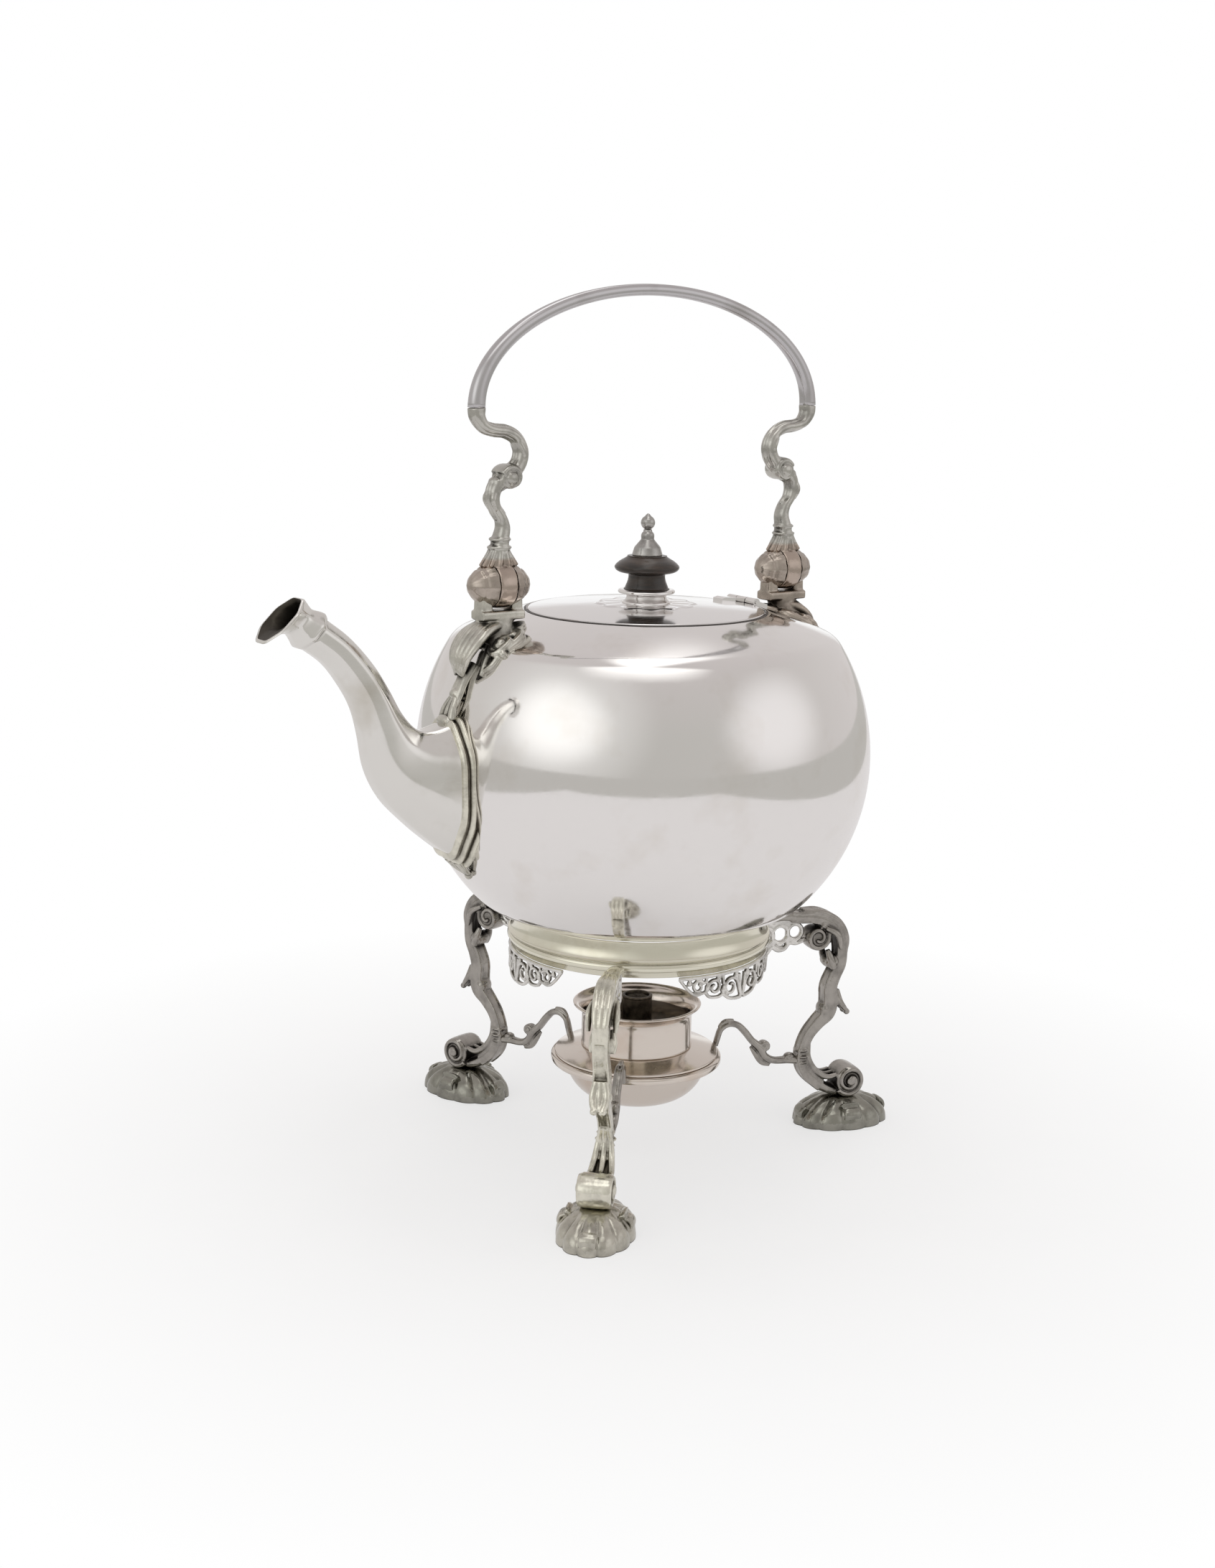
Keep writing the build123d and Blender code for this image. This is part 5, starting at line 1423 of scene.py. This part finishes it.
def make_stage():
    paper = paper_finish()
    table = flat_sheet("table_paper", TABLE_FRONT, TABLE_LEFT, TABLE_RIGHT, TABLE_BACK, 0.0,
                       paper)
    beyond = flat_sheet("room_floor", 9000.0, -9000.0, 9000.0, -9000.0, -2.0,
                        surround_finish())


def softbox(name, azimuth, elevation, distance, width, height, radiance, colour):
    """Area light that the metal doesn't mirror; azimuth as in Studio.glow."""
    way = Matrix.Rotation(math.radians(azimuth), 3, "Z") @ -VIEW
    aim, lift = Vector((0, 0, 0.16)), math.radians(elevation)
    place = aim + distance * (way * math.cos(lift) + Vector((0, 0, math.sin(lift))))
    light = bpy.data.lights.new(name, "AREA")
    light.shape = "RECTANGLE"
    light.size, light.size_y = width, height
    light.energy = radiance * math.pi * width * height
    light.color = colour
    made = bpy.data.objects.new(name, light)
    made.location = place
    made.rotation_euler = (aim - place).to_track_quat("-Z", "Y").to_euler()
    made.visible_glossy = False
    bpy.context.collection.objects.link(made)


def make_lights():
    softbox("overhead_softbox", 10, 78, 1.6, 1.2, 0.9, 0.8, (1.0, 0.995, 0.985))


def make_camera():
    ahead = VIEW * math.cos(CAMERA_PITCH) - Vector((0, 0, math.sin(CAMERA_PITCH)))
    over = RIGHT.cross(ahead)
    across = RIGHT * math.cos(CAMERA_ROLL) + over * math.sin(CAMERA_ROLL)
    upward = over * math.cos(CAMERA_ROLL) - RIGHT * math.sin(CAMERA_ROLL)
    data = bpy.data.cameras.new("photo_camera")
    data.sensor_fit = "AUTO"
    data.sensor_width = SENSOR
    data.lens = SENSOR * FOCAL_PIXELS / PHOTO_LONG_SIDE
    data.clip_start, data.clip_end = 0.05, 60.0
    made = bpy.data.objects.new("photo_camera", data)
    made.matrix_world = Matrix.Translation(CAMERA_PLACE) @ Matrix(
        (across, upward, -ahead)).transposed().to_4x4()
    bpy.context.collection.objects.link(made)
    bpy.context.scene.camera = made


bpy.context.scene.view_settings.view_transform = "Standard"
make_camera()
make_world()
make_lights()
make_stage()
make_body()
make_spout()
make_lugs()
make_bow()
make_scrolls()
make_lid()
make_finial()
make_ring()
make_legs()
make_aprons()
make_arms()
make_lamp()
dress_nodes()
